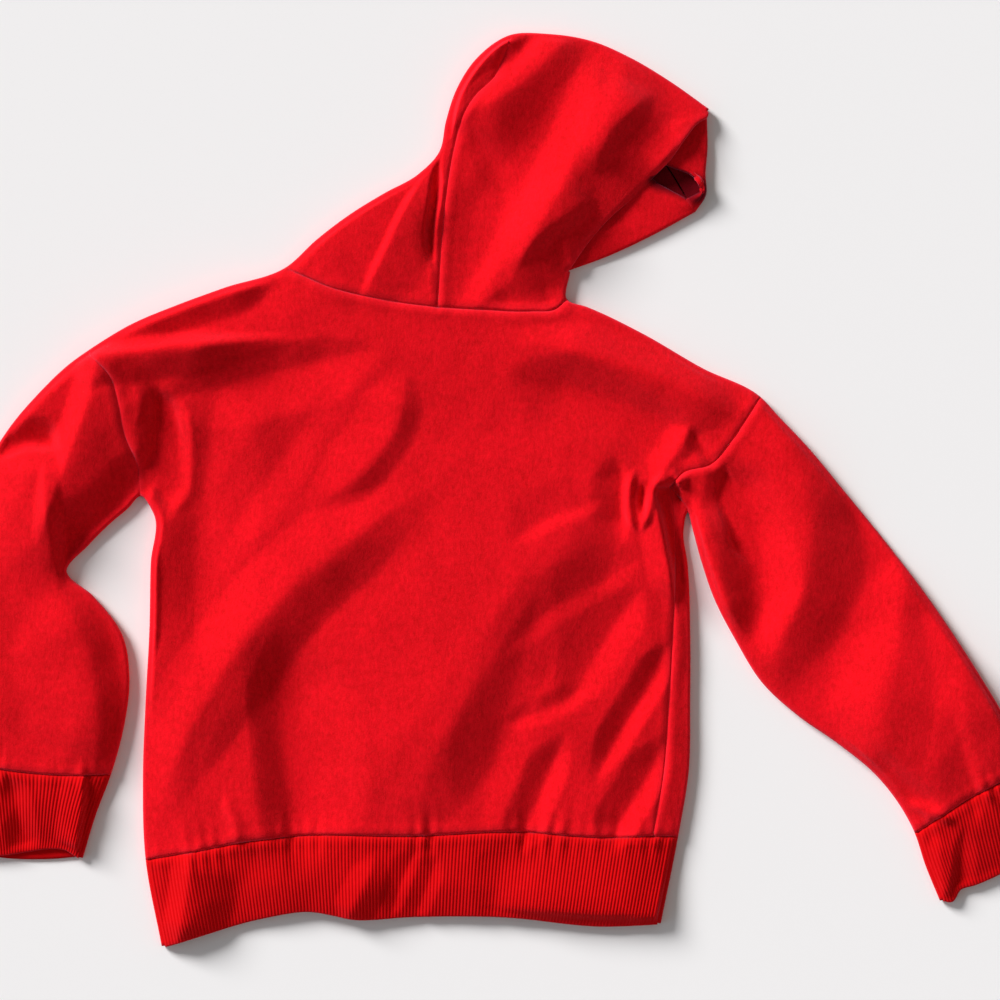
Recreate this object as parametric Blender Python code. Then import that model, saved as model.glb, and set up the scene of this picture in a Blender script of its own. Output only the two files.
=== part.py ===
"""A child's pullover hoodie, laid out flat with its back upwards and its hood turned to one side.

Every cut piece is a wall of cloth: a grid of outer points with inner points one thickness behind
them. The lower layer lies on the surface, the upper layer lies over it with the garment's largest
folds, and rolled edges join the two at the garment's outline. X runs to the right, Y towards the
hood and Z up, with the wearer's left sleeve on the left. Sizes are in millimetres.
"""

import math

import bmesh
import bpy
import numpy as np
from mathutils import Vector

MILLIMETRE = 0.001

CLOTH = 2.0  # thickness of the brushed fleece, and of the ribbing under its ribs
RIB_HEIGHT = 0.6  # what a rib stands above the ribbing
SEAM_GAP = 0.3  # between the raw edges of two pieces that are sewn together
FOLD = 5.4  # height of the cloth where it is rolled over at the outline
ROLL = FOLD / 2  # outer radius of that rolled edge
PUFF = 10.0  # height of the upper layer away from the outline
PUFF_REACH = 35.0  # from the outline to where the upper layer has that height
FOLD_REACH = 14.0  # from the outline to where a fold has its full height
FOLD_END = 0.25  # share of a fold's length over which it dies away at each end
LEAST = 2 * CLOTH + 0.4  # the lowest that the upper layer's face comes
STEEPEST = 1.5  # the most that a slope thickens the upper wall, measured upright
SHARPEST = 0.5  # limits how far a sharp corner is drawn back
LEVEL = 1e-6  # how near to one level the points of a flat face are

SMOOTHING = 12  # steps of a smooth line between two points before it is shared out evenly
FOLD_STEPS = 5  # steps of a fold's line between two of its points

ROLL_TURNS = np.radians([45, 0, -45])  # the points round a rolled edge, between its two layers

BODY_STEPS = 3  # rows between two sections of the body
ARM_STEPS = 2  # rows between two sections of a sleeve
BAND_STEPS = 3  # rows down the waistband
CUFF_STEPS = 2  # rows between two sections of a cuff
HOOD_STEPS = 2  # rows between two sections of the hood
SHOULDER_STEPS = 2  # columns between two points of a shoulder
CROWN_STEPS = 2  # columns between two points of the hood's top edge
YOKE_ROWS = 9  # rows of the back panel above the armpits
UNDER_YOKE_ROWS = 4  # rows of the front panel above the armpits
STRIP_CELLS = 2  # columns of the front panel that show beside the back panel
BACK_NECK_LEFT_CELLS = 7  # columns of the back neck, left of the hood's centre seam
BACK_NECK_RIGHT_CELLS = 10  # and right of it
FRONT_NECK_LEFT_CELLS = 11  # columns of the front neck, left of the middle of the front
FRONT_NECK_RIGHT_CELLS = 6  # and right of it
FRONT_HEM_CELLS = 5  # rows of the hood's left half beside the hem of its right half

BAND_RIBS = 4  # ribs of the waistband in each of its columns
LEFT_CUFF_RIBS = 4  # ribs of the left cuff in each column
RIGHT_CUFF_RIBS = 3  # and of the right one, which has two more columns

FLEECE = (0.60, 0.010, 0.022, 1)
RIBBING = (0.48, 0.008, 0.020, 1)
ROUGHNESS = 0.95


def table(columns, *rows):
    """A table of sizes: each column under its name."""
    return dict(zip(columns.split(), np.array(rows, float).T))


def points(rows, name):
    return np.stack([rows[name + "_x"], rows[name + "_y"]], axis=1)


def xy(rows):
    return np.stack([rows["x"], rows["y"]], axis=1)


# Sections of the body from the waistband's lower edge up to the armpits: where each meets the left
# and the right outline, where it meets the side seam that shows on the right, and how far the left
# side seam lies in from the outline on the underside.
BODY = table(
    "left_x left_y right_x right_y side_x side_y under_in",
    (-246, -342, 128, -325, 111, -325, 16),
    (-258, -277, 141, -260, 122, -259, 16),
    (-260, -215, 149, -210, 130, -212, 16),
    (-258, -160, 150, -160, 134, -160, 16),
    (-255, -105, 150, -105, 137, -107, 16),
    (-254, -55, 148, -55, 139, -55, 13),
    (-252, -18, 145, -31, 138, -22, 8),
    (-262, -5, 148, -17, 135, 2, 5),
)

# Sections of each sleeve from the armhole to the cuff's seam, and of each cuff: where each meets the
# outer and the inner outline of the arm.
SLEEVE_LEFT = table(
    "outer_x outer_y inner_x inner_y",
    (-301, 104, -262, -5),
    (-315, 94, -271, -14),
    (-338, 72, -284, -25),
    (-367, 36, -301, -42),
    (-388, -8, -317, -61),
    (-406, -52, -297, -80),
    (-417, -98, -275, -110),
    (-418, -140, -270, -143),
    (-411, -173, -274, -177),
    (-399, -204, -284, -214),
)
CUFF_LEFT = table(
    "outer_x outer_y inner_x inner_y",
    (-399, -204, -284, -214),
    (-390, -238, -295, -243),
    (-384, -274, -305, -276),
)
SLEEVE_RIGHT = table(
    "outer_x outer_y inner_x inner_y",
    (203, 69, 148, -17),
    (216, 55, 152, -31),
    (236, 34, 158, -53),
    (266, -2, 168, -82),
    (297, -40, 184, -113),
    (326, -78, 204, -145),
    (352, -116, 230, -169),
    (374, -151, 260, -190),
    (392, -181, 290, -215),
    (408, -206, 318, -257),
)
CUFF_RIGHT = table(
    "outer_x outer_y inner_x inner_y",
    (408, -206, 318, -257),
    (414, -237, 326, -281),
    (419, -267, 337, -308),
)
LEFT_CUFF_BOW = 4.0  # how far the middle of the cuff's seam lies nearer to the hand than its ends
RIGHT_CUFF_BOW = 3.0

# The middle parts of the cuffs' ends. The left one's lower layer shows under the upper one.
LEFT_CUFF_END = table("x y", (-366, -273), (-345, -270), (-330, -268), (-318, -269))
LEFT_CUFF_UNDER_END = table("x y", (-366, -276), (-330, -277))
RIGHT_CUFF_END = table("x y", (384, -286), (364, -295), (352, -299), (345, -308))

# Sections of the hood from the neck to the crown: where each meets the outline on the left, the
# centre seam, and the right edge. That edge is a fold up to the second row and the hem from there.
HOOD = table(
    "outline_x outline_y seam_x seam_y edge_x edge_y",
    (-152, 167, -39, 136, 58, 142),
    (-130, 187, -38, 152, 60, 163),
    (-105, 206, -37, 172, 63, 182),
    (-79, 222, -35, 197, 86, 197),
    (-54, 236, -32, 225, 108, 213),
    (-38, 253, -27, 254, 127, 229),
    (-33, 276, -20, 279, 142, 245),
    (-25, 300, -11, 294, 152, 260),
    (-10, 323, 3, 308, 158, 271),
    (14, 340, 13, 330, 162, 279),
)
CROWN = table(
    "x y",
    (14, 340),
    (46, 341),
    (76, 336),
    (106, 323),
    (136, 305),
    (164, 285),
)
LEFT_SHOULDER = table("x y", (-152, 167), (-199, 151), (-232, 139), (-272, 122), (-301, 104))
RIGHT_SHOULDER = table("x y", (58, 142), (72, 137), (114, 117), (159, 91), (203, 69))

# Seams across the upper layer. The ends that lie on the outline come from the tables above.
BACK_NECK_LEFT = table("x y", (-138, 159), (-122, 152), (-92, 144), (-64, 139), (-39, 136))
BACK_NECK_RIGHT = table("x y", (-39, 136), (-5, 134), (32, 133), (50, 135))
LEFT_ARMHOLE = table("x y", (-264, 18), (-273, 42), (-277, 64), (-283, 84))
RIGHT_ARMHOLE = table("x y", (144, 12), (166, 19), (180, 35), (191, 51))
HEM_SEAM = table("x y", (-218, -270), (-180, -263), (-140, -259), (-60, -259), (20, -256), (85, -260))
BAND_EDGE = table(
    "x y",
    (-210, -331),
    (-170, -320),
    (-138, -315),
    (-98, -321),
    (-60, -319),
    (10, -319),
    (85, -326),
)

# Seams and hems of the lower layer. Most of them are hidden, and those are plain curves.
FRONT_NECK_LEFT = table("x y", (-120, 127), (-78, 102), (-30, 93))
FRONT_NECK_RIGHT = table("x y", (-30, 93), (14, 104), (44, 125))
LEFT_UNDER_ARMHOLE = table("x y", (-268, 30), (-280, 68))
RIGHT_UNDER_ARMHOLE = table("x y", (158, 10), (177, 39))
HOOD_UNDER_SEAM = table("x y", (16, 330), (60, 312), (100, 280), (132, 244), (154, 208))
HOOD_LOWER_HEM = table("x y", (89, 175), (121, 190), (154, 208))
HOOD_SIDE_HEM = table("x y", (165, 250), (163, 219), (154, 208))
FRONT_HEM_END = (-31.0, 97.0)  # where the hood's two hems meet, just above the front neck

# The largest folds of the upper layer. Each runs from its first point over its middle to its last
# one, rises or sinks by its height, and reaches out to its left and to its right, seen along it.
FOLDS = table(
    "x0 y0 x1 y1 x2 y2 height left right",
    (-250, -215, -169, -92, -40, 8, 9, 34, 26),  # long ridge from the left hip to the shoulder blade
    (-186, -95, -166, -158, -152, -262, -5, 10, 22),  # trough beside its lower half
    (-118, -60, -112, -140, -100, -240, 5, 48, 42),  # broad swell in the middle of the back
    (22, -90, 2, -160, -70, -252, -6, 14, 26),  # trough right of the swell
    (48, -40, 32, -130, 10, -245, 5, 22, 26),  # narrower swell right of that
    (112, -78, 66, -120, 46, -146, -4, 14, 16),  # slanting troughs and ridges of the right hip
    (122, -40, 86, -150, 50, -205, 4, 16, 18),
    (122, -118, 96, -156, 80, -186, -4, 10, 14),
    (48, -180, 30, -214, 16, -244, -4, 10, 14),
    (120, -190, 98, -222, 80, -256, -4, 12, 14),
    (-214, 40, -217, -30, -238, -130, -4, 16, 16),  # soft trough along the left side
    (-66, 72, -80, 20, -112, -8, -4, 16, 18),  # dip between the shoulder blades
    (-286, 108, -200, 119, -110, 128, 4, 12, 10),  # ridge along the left shoulder
    (-284, 100, -246, 90, -120, 112, -7, 12, 14),  # deep trough under it
    (-258, 68, -237, 48, -248, -14, 8, 26, 9),  # edge of the back that hangs over the left armpit
    (-276, 60, -262, 36, -262, 0, -6, 10, 12),  # hollow beside that edge
    (0, 120, 90, 104, 175, 66, 5, 26, 20),  # ridge along the right shoulder
    (20, 78, 76, 70, 128, 40, -5, 18, 10),  # trough under it
    (146, 48, 134, 30, 118, 4, 7, 12, 12),  # knuckle of cloth at the right armpit
    (102, 16, 101, -14, 108, -34, -5, 9, 9),  # pinched folds below the knuckle
    (113, 10, 113, -14, 116, -34, 5, 7, 7),
    (128, 4, 136, -8, 138, -26, -6, 10, 12),
    (-304, 98, -312, 44, -322, 0, 7, 16, 14),  # crest of the left upper arm
    (-300, 40, -302, 0, -306, -40, -5, 18, 16),  # hollow behind it
    (-352, 26, -356, -60, -338, -180, 8, 42, 34),  # puffed left forearm
    (-334, 14, -336, -26, -324, -58, -6, 12, 12),  # crease at the left elbow
    (196, 20, 222, -50, 218, -118, 6, 22, 22),  # crests and troughs of the right sleeve
    (232, 32, 262, -45, 222, -136, -6, 22, 20),
    (270, -40, 292, -120, 350, -200, 6, 28, 26),
    (176, 4, 180, -40, 200, -110, -5, 14, 12),
    (154, 0, 160, -50, 176, -90, 3, 9, 8),
    (300, -120, 322, -160, 336, -205, -3, 12, 14),
    (74, 322, 38, 240, 0, 158, 10, 22, 24),  # crest across the top of the hood
    (54, 334, 16, 308, -20, 290, 5, 14, 12),  # smaller crest behind it
    (62, 322, 34, 286, -8, 250, -5, 12, 14),  # trough between the two
    (94, 288, 84, 250, 74, 208, -8, 22, 18),  # hollow in front of the crest
    (120, 300, 124, 262, 104, 228, 6, 18, 16),  # swell along the hood's hem
    (66, 206, 48, 196, 30, 186, -7, 12, 14),  # hollow at the side of the neck
    (-48, 250, -46, 206, -48, 158, -6, 10, 8),  # slit beside the centre seam
    (-58, 222, -78, 190, -104, 152, 5, 14, 16),  # ridge from the slit to the left of the neck
)


def trace(*parts):
    """A smooth line through points, with a number of steps between each two of each part.

    Parts follow each other, and each starts where the last one ended. Gives the line's points, and
    the numbers of the points where the parts start and end.
    """
    through = np.concatenate([parts[0][0][:1]] + [places[1:] for places, count in parts])
    steps = [count for places, count in parts for span in places[1:]]
    reach = lengths(through)
    if len(through) > 2:
        slope = np.gradient(through, reach, axis=0)
    else:
        slope = np.repeat((through[1:] - through[:1]) / reach[1], 2, axis=0)
    line = [through[:1]]
    for k, count in enumerate(steps):
        t = np.arange(1, count + 1)[:, None] / count
        span = reach[k + 1] - reach[k]
        ends = (2 * t**3 - 3 * t**2 + 1) * through[k] + (3 * t**2 - 2 * t**3) * through[k + 1]
        bend = (t**3 - 2 * t**2 + t) * slope[k] + (t**3 - t**2) * slope[k + 1]
        line.append(ends + span * bend)
    marks = np.cumsum([0] + [count * (len(places) - 1) for places, count in parts])
    return np.concatenate(line), marks


def lengths(line):
    """How far each point of a line is from its start, along the line."""
    return np.concatenate([[0], np.cumsum(np.linalg.norm(np.diff(line, axis=0), axis=1))])


def at_lengths(line, reach, wanted):
    return np.stack([np.interp(wanted, reach, line[:, k]) for k in (0, 1)], axis=1)


def evenly(places, cells):
    """Points the same distance apart along a smooth line through the places."""
    fine = trace((places, SMOOTHING))[0]
    reach = lengths(fine)
    return at_lengths(fine, reach, np.linspace(0, reach[-1], cells + 1))


def straight(start, end, cells):
    return np.linspace(start, end, cells + 1)


def bowed(start, end, bow, cells):
    """A line from one point to another whose middle lies to its right by the bow."""
    t = np.linspace(0, 1, cells + 1)[:, None]
    ahead = (end - start) / np.linalg.norm(end - start)
    return start + t * (end - start) + 4 * t * (1 - t) * bow * np.array([ahead[1], -ahead[0]])


def finer(line, parts):
    """The same line with each of its steps in that many parts."""
    count = np.arange(len(line))
    return at_lengths(line, count, np.arange((len(line) - 1) * parts + 1) / parts)


def joined(*lines):
    """Lines that follow each other, as one, with the points that they share once."""
    return np.concatenate([lines[0]] + [line[1:] for line in lines[1:]])


class Edge:
    """A stretch of the garment's outline, where the cloth is rolled over."""

    def __init__(self, line, inward):
        self.line = line
        self.inward = inward
        self.inset = line + ROLL * inward  # where the roll meets the flat layers

    def part(self, start, end):
        return Edge(self.line[start : end + 1], self.inward[start : end + 1])

    def reversed(self):
        return Edge(self.line[::-1], self.inward[::-1])


def outline(cloth_side, *parts):
    """Edges along one smooth line, one for each part. cloth_side is 1 with the cloth on its left."""
    line, marks = trace(*parts)
    ahead = np.gradient(line, axis=0)
    ahead /= np.linalg.norm(ahead, axis=1, keepdims=True)
    whole = Edge(line, cloth_side * np.stack([-ahead[:, 1], ahead[:, 0]], axis=1))
    return line, [whole.part(start, end) for start, end in zip(marks, marks[1:])]


class Lines:
    """The outlines and seams of the garment, which its pieces share."""

    def __init__(self):
        self.trace_outlines()
        self.trace_seams()
        self.trace_rims()

    def trace_outlines(self):
        self.left_over, edges = outline(
            1,
            (xy(CROWN)[::-1], CROWN_STEPS),
            (points(HOOD, "outline")[::-1], HOOD_STEPS),
            (xy(LEFT_SHOULDER), SHOULDER_STEPS),
            (points(SLEEVE_LEFT, "outer"), ARM_STEPS),
            (points(CUFF_LEFT, "outer"), CUFF_STEPS),
        )
        crown, hood_side, self.left_shoulder, self.left_arm_outer, self.left_cuff_outer = edges
        self.crown = crown.reversed()
        self.hood_side = hood_side.reversed()
        self.right_over, edges = outline(
            -1,
            (points(HOOD, "edge")[1::-1], HOOD_STEPS),
            (xy(RIGHT_SHOULDER), SHOULDER_STEPS),
            (points(SLEEVE_RIGHT, "outer"), ARM_STEPS),
            (points(CUFF_RIGHT, "outer"), CUFF_STEPS),
        )
        neck_fold, self.right_shoulder, self.right_arm_outer, self.right_cuff_outer = edges
        self.neck_fold = neck_fold.reversed()
        self.left_inside, edges = outline(
            -1,
            (points(BODY, "left")[:2], BAND_STEPS),
            (points(BODY, "left")[1:], BODY_STEPS),
            (points(SLEEVE_LEFT, "inner"), ARM_STEPS),
            (points(CUFF_LEFT, "inner"), CUFF_STEPS),
        )
        self.left_band, self.left_side, self.left_arm_inner, self.left_cuff_inner = edges
        self.right_inside, edges = outline(
            1,
            (points(BODY, "right")[:2], BAND_STEPS),
            (points(BODY, "right")[1:], BODY_STEPS),
            (points(SLEEVE_RIGHT, "inner"), ARM_STEPS),
            (points(CUFF_RIGHT, "inner"), CUFF_STEPS),
        )
        self.right_band, self.right_side, self.right_arm_inner, self.right_cuff_inner = edges

    def trace_seams(self):
        tip_left, tip_right = self.left_shoulder.inset[-1:], self.right_shoulder.inset[-1:]
        neck_left, neck_right = self.left_shoulder.inset[:1], self.right_shoulder.inset[:1]
        self.side_seam = trace((points(BODY, "side")[1:], BODY_STEPS))[0]
        under_in = finer(np.stack([BODY["under_in"][1:]] * 2, axis=1), BODY_STEPS)
        self.under_side_seam = self.left_side.line + under_in * self.left_side.inward

        def armhole(start, middle, end, cells):
            return evenly(np.concatenate([start, xy(middle), end]), cells)

        self.left_armhole = armhole(self.left_side.inset[-1:], LEFT_ARMHOLE, tip_left, YOKE_ROWS)
        self.right_armhole = armhole(self.side_seam[-1:], RIGHT_ARMHOLE, tip_right, YOKE_ROWS)
        self.left_under_armhole = armhole(
            self.under_side_seam[-1:], LEFT_UNDER_ARMHOLE, tip_left, UNDER_YOKE_ROWS
        )
        self.right_under_armhole = armhole(
            self.right_side.inset[-1:], RIGHT_UNDER_ARMHOLE, tip_right, UNDER_YOKE_ROWS
        )
        neck = np.concatenate([neck_left, xy(BACK_NECK_LEFT)])
        self.back_neck_left = evenly(neck, BACK_NECK_LEFT_CELLS)
        neck = np.concatenate([xy(BACK_NECK_RIGHT), neck_right])
        self.back_neck_right = evenly(neck, BACK_NECK_RIGHT_CELLS)
        neck = np.concatenate([neck_left, xy(FRONT_NECK_LEFT)])
        self.front_neck_left = evenly(neck, FRONT_NECK_LEFT_CELLS)
        neck = np.concatenate([xy(FRONT_NECK_RIGHT), neck_right])
        self.front_neck_right = evenly(neck, FRONT_NECK_RIGHT_CELLS)

        shoulders = len(self.left_shoulder.line) + len(self.right_shoulder.line) - 2
        hem = np.concatenate([self.left_side.inset[:1], xy(HEM_SEAM), self.side_seam[:1]])
        self.hem = evenly(hem, shoulders + BACK_NECK_LEFT_CELLS + BACK_NECK_RIGHT_CELLS)
        hem = np.concatenate([self.under_side_seam[:1], xy(HEM_SEAM), self.right_side.inset[:1]])
        self.under_hem = evenly(hem, shoulders + FRONT_NECK_LEFT_CELLS + FRONT_NECK_RIGHT_CELLS)
        side = self.right_side.inset
        self.strip_start = straight(self.side_seam[0], side[0], STRIP_CELLS)
        self.strip_end = straight(self.side_seam[-1], side[-1], STRIP_CELLS)

        self.hood_seam = trace((points(HOOD, "seam"), HOOD_STEPS))[0]
        self.hood_under_seam = evenly(xy(HOOD_UNDER_SEAM), len(self.crown.line) - 1)
        hem = np.concatenate([self.neck_fold.inset[-1:], points(HOOD, "edge")[2:]])
        self.hood_hem = trace((hem, HOOD_STEPS))[0]

    def trace_rims(self):
        """The lines at which the upper layer comes down to the lower one."""
        self.band_edge = np.concatenate(
            [self.left_band.inset[:1], xy(BAND_EDGE), self.right_band.inset[:1]]
        )
        cuff_ends = [
            np.stack([outer.line[-1], inner.line[-1]])
            for outer, inner in (
                (self.left_cuff_outer, self.left_cuff_inner),
                (self.right_cuff_outer, self.right_cuff_inner),
            )
        ]
        self.rims = [
            self.left_over,
            self.right_over,
            self.left_inside,
            self.right_inside,
            self.band_edge,
            self.hood_hem,
            *cuff_ends,
        ]


LINES = Lines()


def measured(line, plan):
    """How far points lie from a line, how far along it, from 0 to 1, and on which side of it."""
    run = np.diff(line, axis=0)
    away = plan[..., None, :] - line[:-1]
    t = np.clip((away * run).sum(-1) / (run * run).sum(-1), 0, 1)
    far = np.linalg.norm(away - t[..., None] * run, axis=-1)
    side = np.sign(run[:, 0] * away[..., 1] - run[:, 1] * away[..., 0])
    nearest = far.argmin(-1)[..., None]
    far, t, side = (np.take_along_axis(k, nearest, -1)[..., 0] for k in (far, t, side))
    return far, (nearest[..., 0] + t) / len(run), side


def ramp(t):
    """From 0 to 1, smoothly, as t goes from 0 to 1."""
    t = np.clip(t, 0, 1)
    return t * t * (3 - 2 * t)


def fold_heights(plan):
    """What the folds add to the upper layer's height."""
    total = np.zeros(plan.shape[:-1])
    rows = np.array([FOLDS[name] for name in FOLDS]).T
    for x0, y0, x1, y1, x2, y2, high, left, right in rows:
        line = trace((np.array([(x0, y0), (x1, y1), (x2, y2)]), FOLD_STEPS))[0]
        far, along, side = measured(line, plan)
        across = np.clip(far / np.where(side > 0, left, right), 0, 1)
        ends = ramp(along / FOLD_END) * ramp((1 - along) / FOLD_END)
        total += high * (1 - across**2) ** 2 * ends
    return total


def height(plan):
    """Height of the upper layer's face over the surface that the garment lies on."""
    rim = np.min([measured(line, plan)[0] for line in LINES.rims], axis=0) - ROLL
    swell = (PUFF - FOLD) * ramp(rim / PUFF_REACH)
    return np.maximum(FOLD + swell + fold_heights(plan) * ramp(rim / FOLD_REACH), LEAST)


def raised(plan, outer, inner):
    """Outer and inner points over points of the plan."""
    pair = [np.concatenate([plan, high[..., None]], axis=-1) for high in (outer, inner)]
    return np.stack(pair, axis=-2)


def upper(plan):
    """The upper layer over points of the plan. A slope makes its wall thicker, measured upright."""
    face = height(plan)
    rise = [height(plan + step) - height(plan - step) for step in ((0.5, 0), (0, 0.5))]
    slant = np.sqrt(1 + rise[0] ** 2 + rise[1] ** 2)
    inner = face - CLOTH * np.minimum(slant, STEEPEST)
    return raised(plan, face, np.maximum(inner, CLOTH + SEAM_GAP))


def lower(plan):
    """The lower layer, which lies on the surface."""
    flat = np.zeros(plan.shape[:-1])
    return raised(plan, flat, flat + CLOTH)


def rolled(edge):
    """The cloth round an edge of the outline, from the upper layer down to the lower one."""
    turns = []
    for turn in ROLL_TURNS:
        pair = []
        for radius in (ROLL, ROLL - CLOTH):
            plan = edge.line + (ROLL - radius * math.cos(turn)) * edge.inward
            high = np.full((len(plan), 1), ROLL + radius * math.sin(turn))
            pair.append(np.concatenate([plan, high], axis=1))
        turns.append(np.stack(pair, axis=1))
    return np.stack(turns, axis=1)


def filled(bottom, top, left, right):
    """Plan points between a panel's four edges: rows from the bottom, columns from the left."""
    u = np.linspace(0, 1, len(bottom))[None, :, None]
    v = np.linspace(0, 1, len(left))[:, None, None]
    across = (1 - u) * left[:, None] + u * right[:, None]
    upwards = (1 - v) * bottom[None] + v * top[None]
    corners = (1 - v) * ((1 - u) * bottom[0] + u * bottom[-1]) + v * ((1 - u) * top[0] + u * top[-1])
    return across + upwards - corners


def cloth(name, colour):
    made = bpy.data.materials.new(name)
    made.use_nodes = True
    shader = made.node_tree.nodes["Principled BSDF"]
    shader.inputs["Base Color"].default_value = colour
    shader.inputs["Roughness"].default_value = ROUGHNESS
    shader.inputs["Metallic"].default_value = 0
    return made


def drawn_back(vert):
    """The move that draws a point on a raw edge back by half of the seam's gap."""
    ways = []
    for edge in vert.link_edges:
        if edge.is_boundary:
            along = (edge.verts[1].co - edge.verts[0].co).normalized()
            inward = edge.link_faces[0].calc_center_median() - edge.verts[0].co
            ways.append((inward - inward.dot(along) * along).normalized())
    if len(ways) != 2:
        return Vector()
    both = ways[0] + ways[1]
    return both * (SEAM_GAP / 2) / max(both.dot(ways[0]), SHARPEST)


def wall(name, outer, inner, colour, behind=None, present=None, closed=False):
    """Makes a piece of cloth from a grid of outer points and a grid of inner ones.

    Inner column k lies behind outer column behind[k], which is k if behind is left out. present says
    which cells between inner points are cloth, all of them if it is left out. In a closed grid the
    last column joins the first one.
    """
    rows, columns = inner.shape[:2]
    wide = outer.shape[1]
    cells = columns if closed else columns - 1
    behind = list(range(columns)) if behind is None else behind
    if present is None:
        present = np.ones((rows - 1, cells), bool)
    starts = behind + [wide]
    spans = [[k % wide for k in range(starts[cell], starts[cell + 1] + 1)] for cell in range(cells)]
    cloth_cells = [(row, cell) for row in range(rows - 1) for cell in range(cells) if present[row, cell]]

    sheet = bmesh.new()
    front = {}
    for row, cell in cloth_cells:
        for key in [(side, step) for side in (row, row + 1) for step in spans[cell]]:
            if key not in front:
                front[key] = sheet.verts.new(outer[key])
        for a, b in zip(spans[cell], spans[cell][1:]):
            corners = (row, a), (row, b), (row + 1, b), (row + 1, a)
            sheet.faces.new([front[corner] for corner in corners])
    moves = {key: drawn_back(vert) for key, vert in front.items()}
    for key, vert in front.items():
        vert.co += moves[key]

    back = {}
    for row in range(rows):
        for column in range(columns):
            key = row, behind[column]
            if key in front:
                back[row, column] = sheet.verts.new(Vector(inner[row, column]) + moves[key])

    def is_cloth(row, cell):
        cell = cell % cells if closed else cell
        return 0 <= row < rows - 1 and 0 <= cell < cells and present[row, cell]

    for row, cell in cloth_cells:
        after = (cell + 1) % columns
        corners = (row, cell), (row + 1, cell), (row + 1, after), (row, after)
        sheet.faces.new([back[corner] for corner in corners])
        for side, beyond in ((row, row - 1), (row + 1, row + 1)):
            if not is_cloth(beyond, cell):
                rim = [front[side, step] for step in spans[cell]]
                sheet.faces.new(rim + [back[side, after], back[side, cell]])
        for side, beyond in ((cell, cell - 1), (after, cell + 1)):
            if not is_cloth(row, beyond):
                rim = [front[row, behind[side]], front[row + 1, behind[side]]]
                sheet.faces.new(rim + [back[row + 1, side], back[row, side]])
    return finished(name, sheet, colour)


def finished(name, sheet, colour):
    """Makes an object of a wall, with each flat face of its lower layer in one piece."""
    for level in (0, CLOTH):
        flat = [face for face in sheet.faces if all(abs(v.co.z - level) < LEVEL for v in face.verts)]
        if flat:
            bmesh.ops.dissolve_faces(sheet, faces=flat, use_verts=False)
    bmesh.ops.scale(sheet, vec=(MILLIMETRE,) * 3, verts=sheet.verts)
    bmesh.ops.triangulate(sheet, faces=sheet.faces, ngon_method="BEAUTY")
    bmesh.ops.recalc_face_normals(sheet, faces=sheet.faces)
    mesh = bpy.data.meshes.new(name)
    sheet.to_mesh(mesh)
    sheet.free()
    mesh.shade_smooth()
    mesh.materials.append(cloth(name, colour))
    piece = bpy.data.objects.new(name, mesh)
    bpy.context.scene.collection.objects.link(piece)
    return piece


def single(name, grid, present):
    return wall(name, grid[:, :, 0], grid[:, :, 1], FLEECE, present=present)


def blank(rows, columns):
    """A part of a grid that is no cloth until it is filled in."""
    return np.zeros((rows, columns, 2, 3))


def back_panel():
    """The back: the upper layer, turned under along the left side and down along the shoulders."""
    side, shoulders = LINES.left_side, (LINES.left_shoulder, LINES.right_shoulder)
    neck = joined(LINES.back_neck_left, LINES.back_neck_right)
    panel = upper(
        filled(
            LINES.hem,
            joined(shoulders[0].inset[::-1], neck, shoulders[1].inset),
            joined(side.inset, LINES.left_armhole),
            joined(LINES.side_seam, LINES.right_armhole),
        )
    )
    body_rows = len(side.line)
    turned = blank(len(panel), 2 + len(ROLL_TURNS))
    turned[:body_rows, 0] = lower(LINES.under_side_seam)
    turned[:body_rows, 1] = lower(side.inset)
    turned[:body_rows, 2:] = rolled(side)[:, ::-1]
    grid = np.concatenate([turned, panel], axis=1)

    first = turned.shape[1]
    last = grid.shape[1]
    left = slice(first, first + len(shoulders[0].line))
    right = slice(last - len(shoulders[1].line), last)
    down = blank(len(ROLL_TURNS) + 1, last)
    for edge, at in ((shoulders[0].reversed(), left), (shoulders[1], right)):
        down[:-1, at] = rolled(edge).swapaxes(0, 1)
        down[-1, at] = lower(edge.inset)
    present = np.ones((len(grid) + len(down) - 1, last - 1), bool)
    present[body_rows - 1 :, :first] = False
    present[len(grid) - 1 :, left.stop - 1 : right.start] = False
    return single("back_panel", np.concatenate([grid, down]), present)


def front_panel():
    """The front: the lower layer, and the strip that comes up round the right side."""
    side = LINES.right_side
    neck = joined(LINES.front_neck_left, LINES.front_neck_right)
    panel = lower(
        filled(
            LINES.under_hem,
            joined(LINES.left_shoulder.inset[::-1], neck, LINES.right_shoulder.inset),
            joined(LINES.under_side_seam, LINES.left_under_armhole),
            joined(side.inset, LINES.right_under_armhole),
        )
    )
    strip = upper(
        filled(LINES.strip_start[::-1], LINES.strip_end[::-1], side.inset, LINES.side_seam)
    )
    body_rows = len(side.line)
    turned = blank(len(panel), len(ROLL_TURNS) + STRIP_CELLS + 1)
    turned[:body_rows] = np.concatenate([rolled(side)[:, ::-1], strip], axis=1)
    grid = np.concatenate([panel, turned], axis=1)
    present = np.ones((len(grid) - 1, grid.shape[1] - 1), bool)
    present[body_rows - 1 :, panel.shape[1] - 1 :] = False
    return single("front_panel", grid, present)


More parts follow.
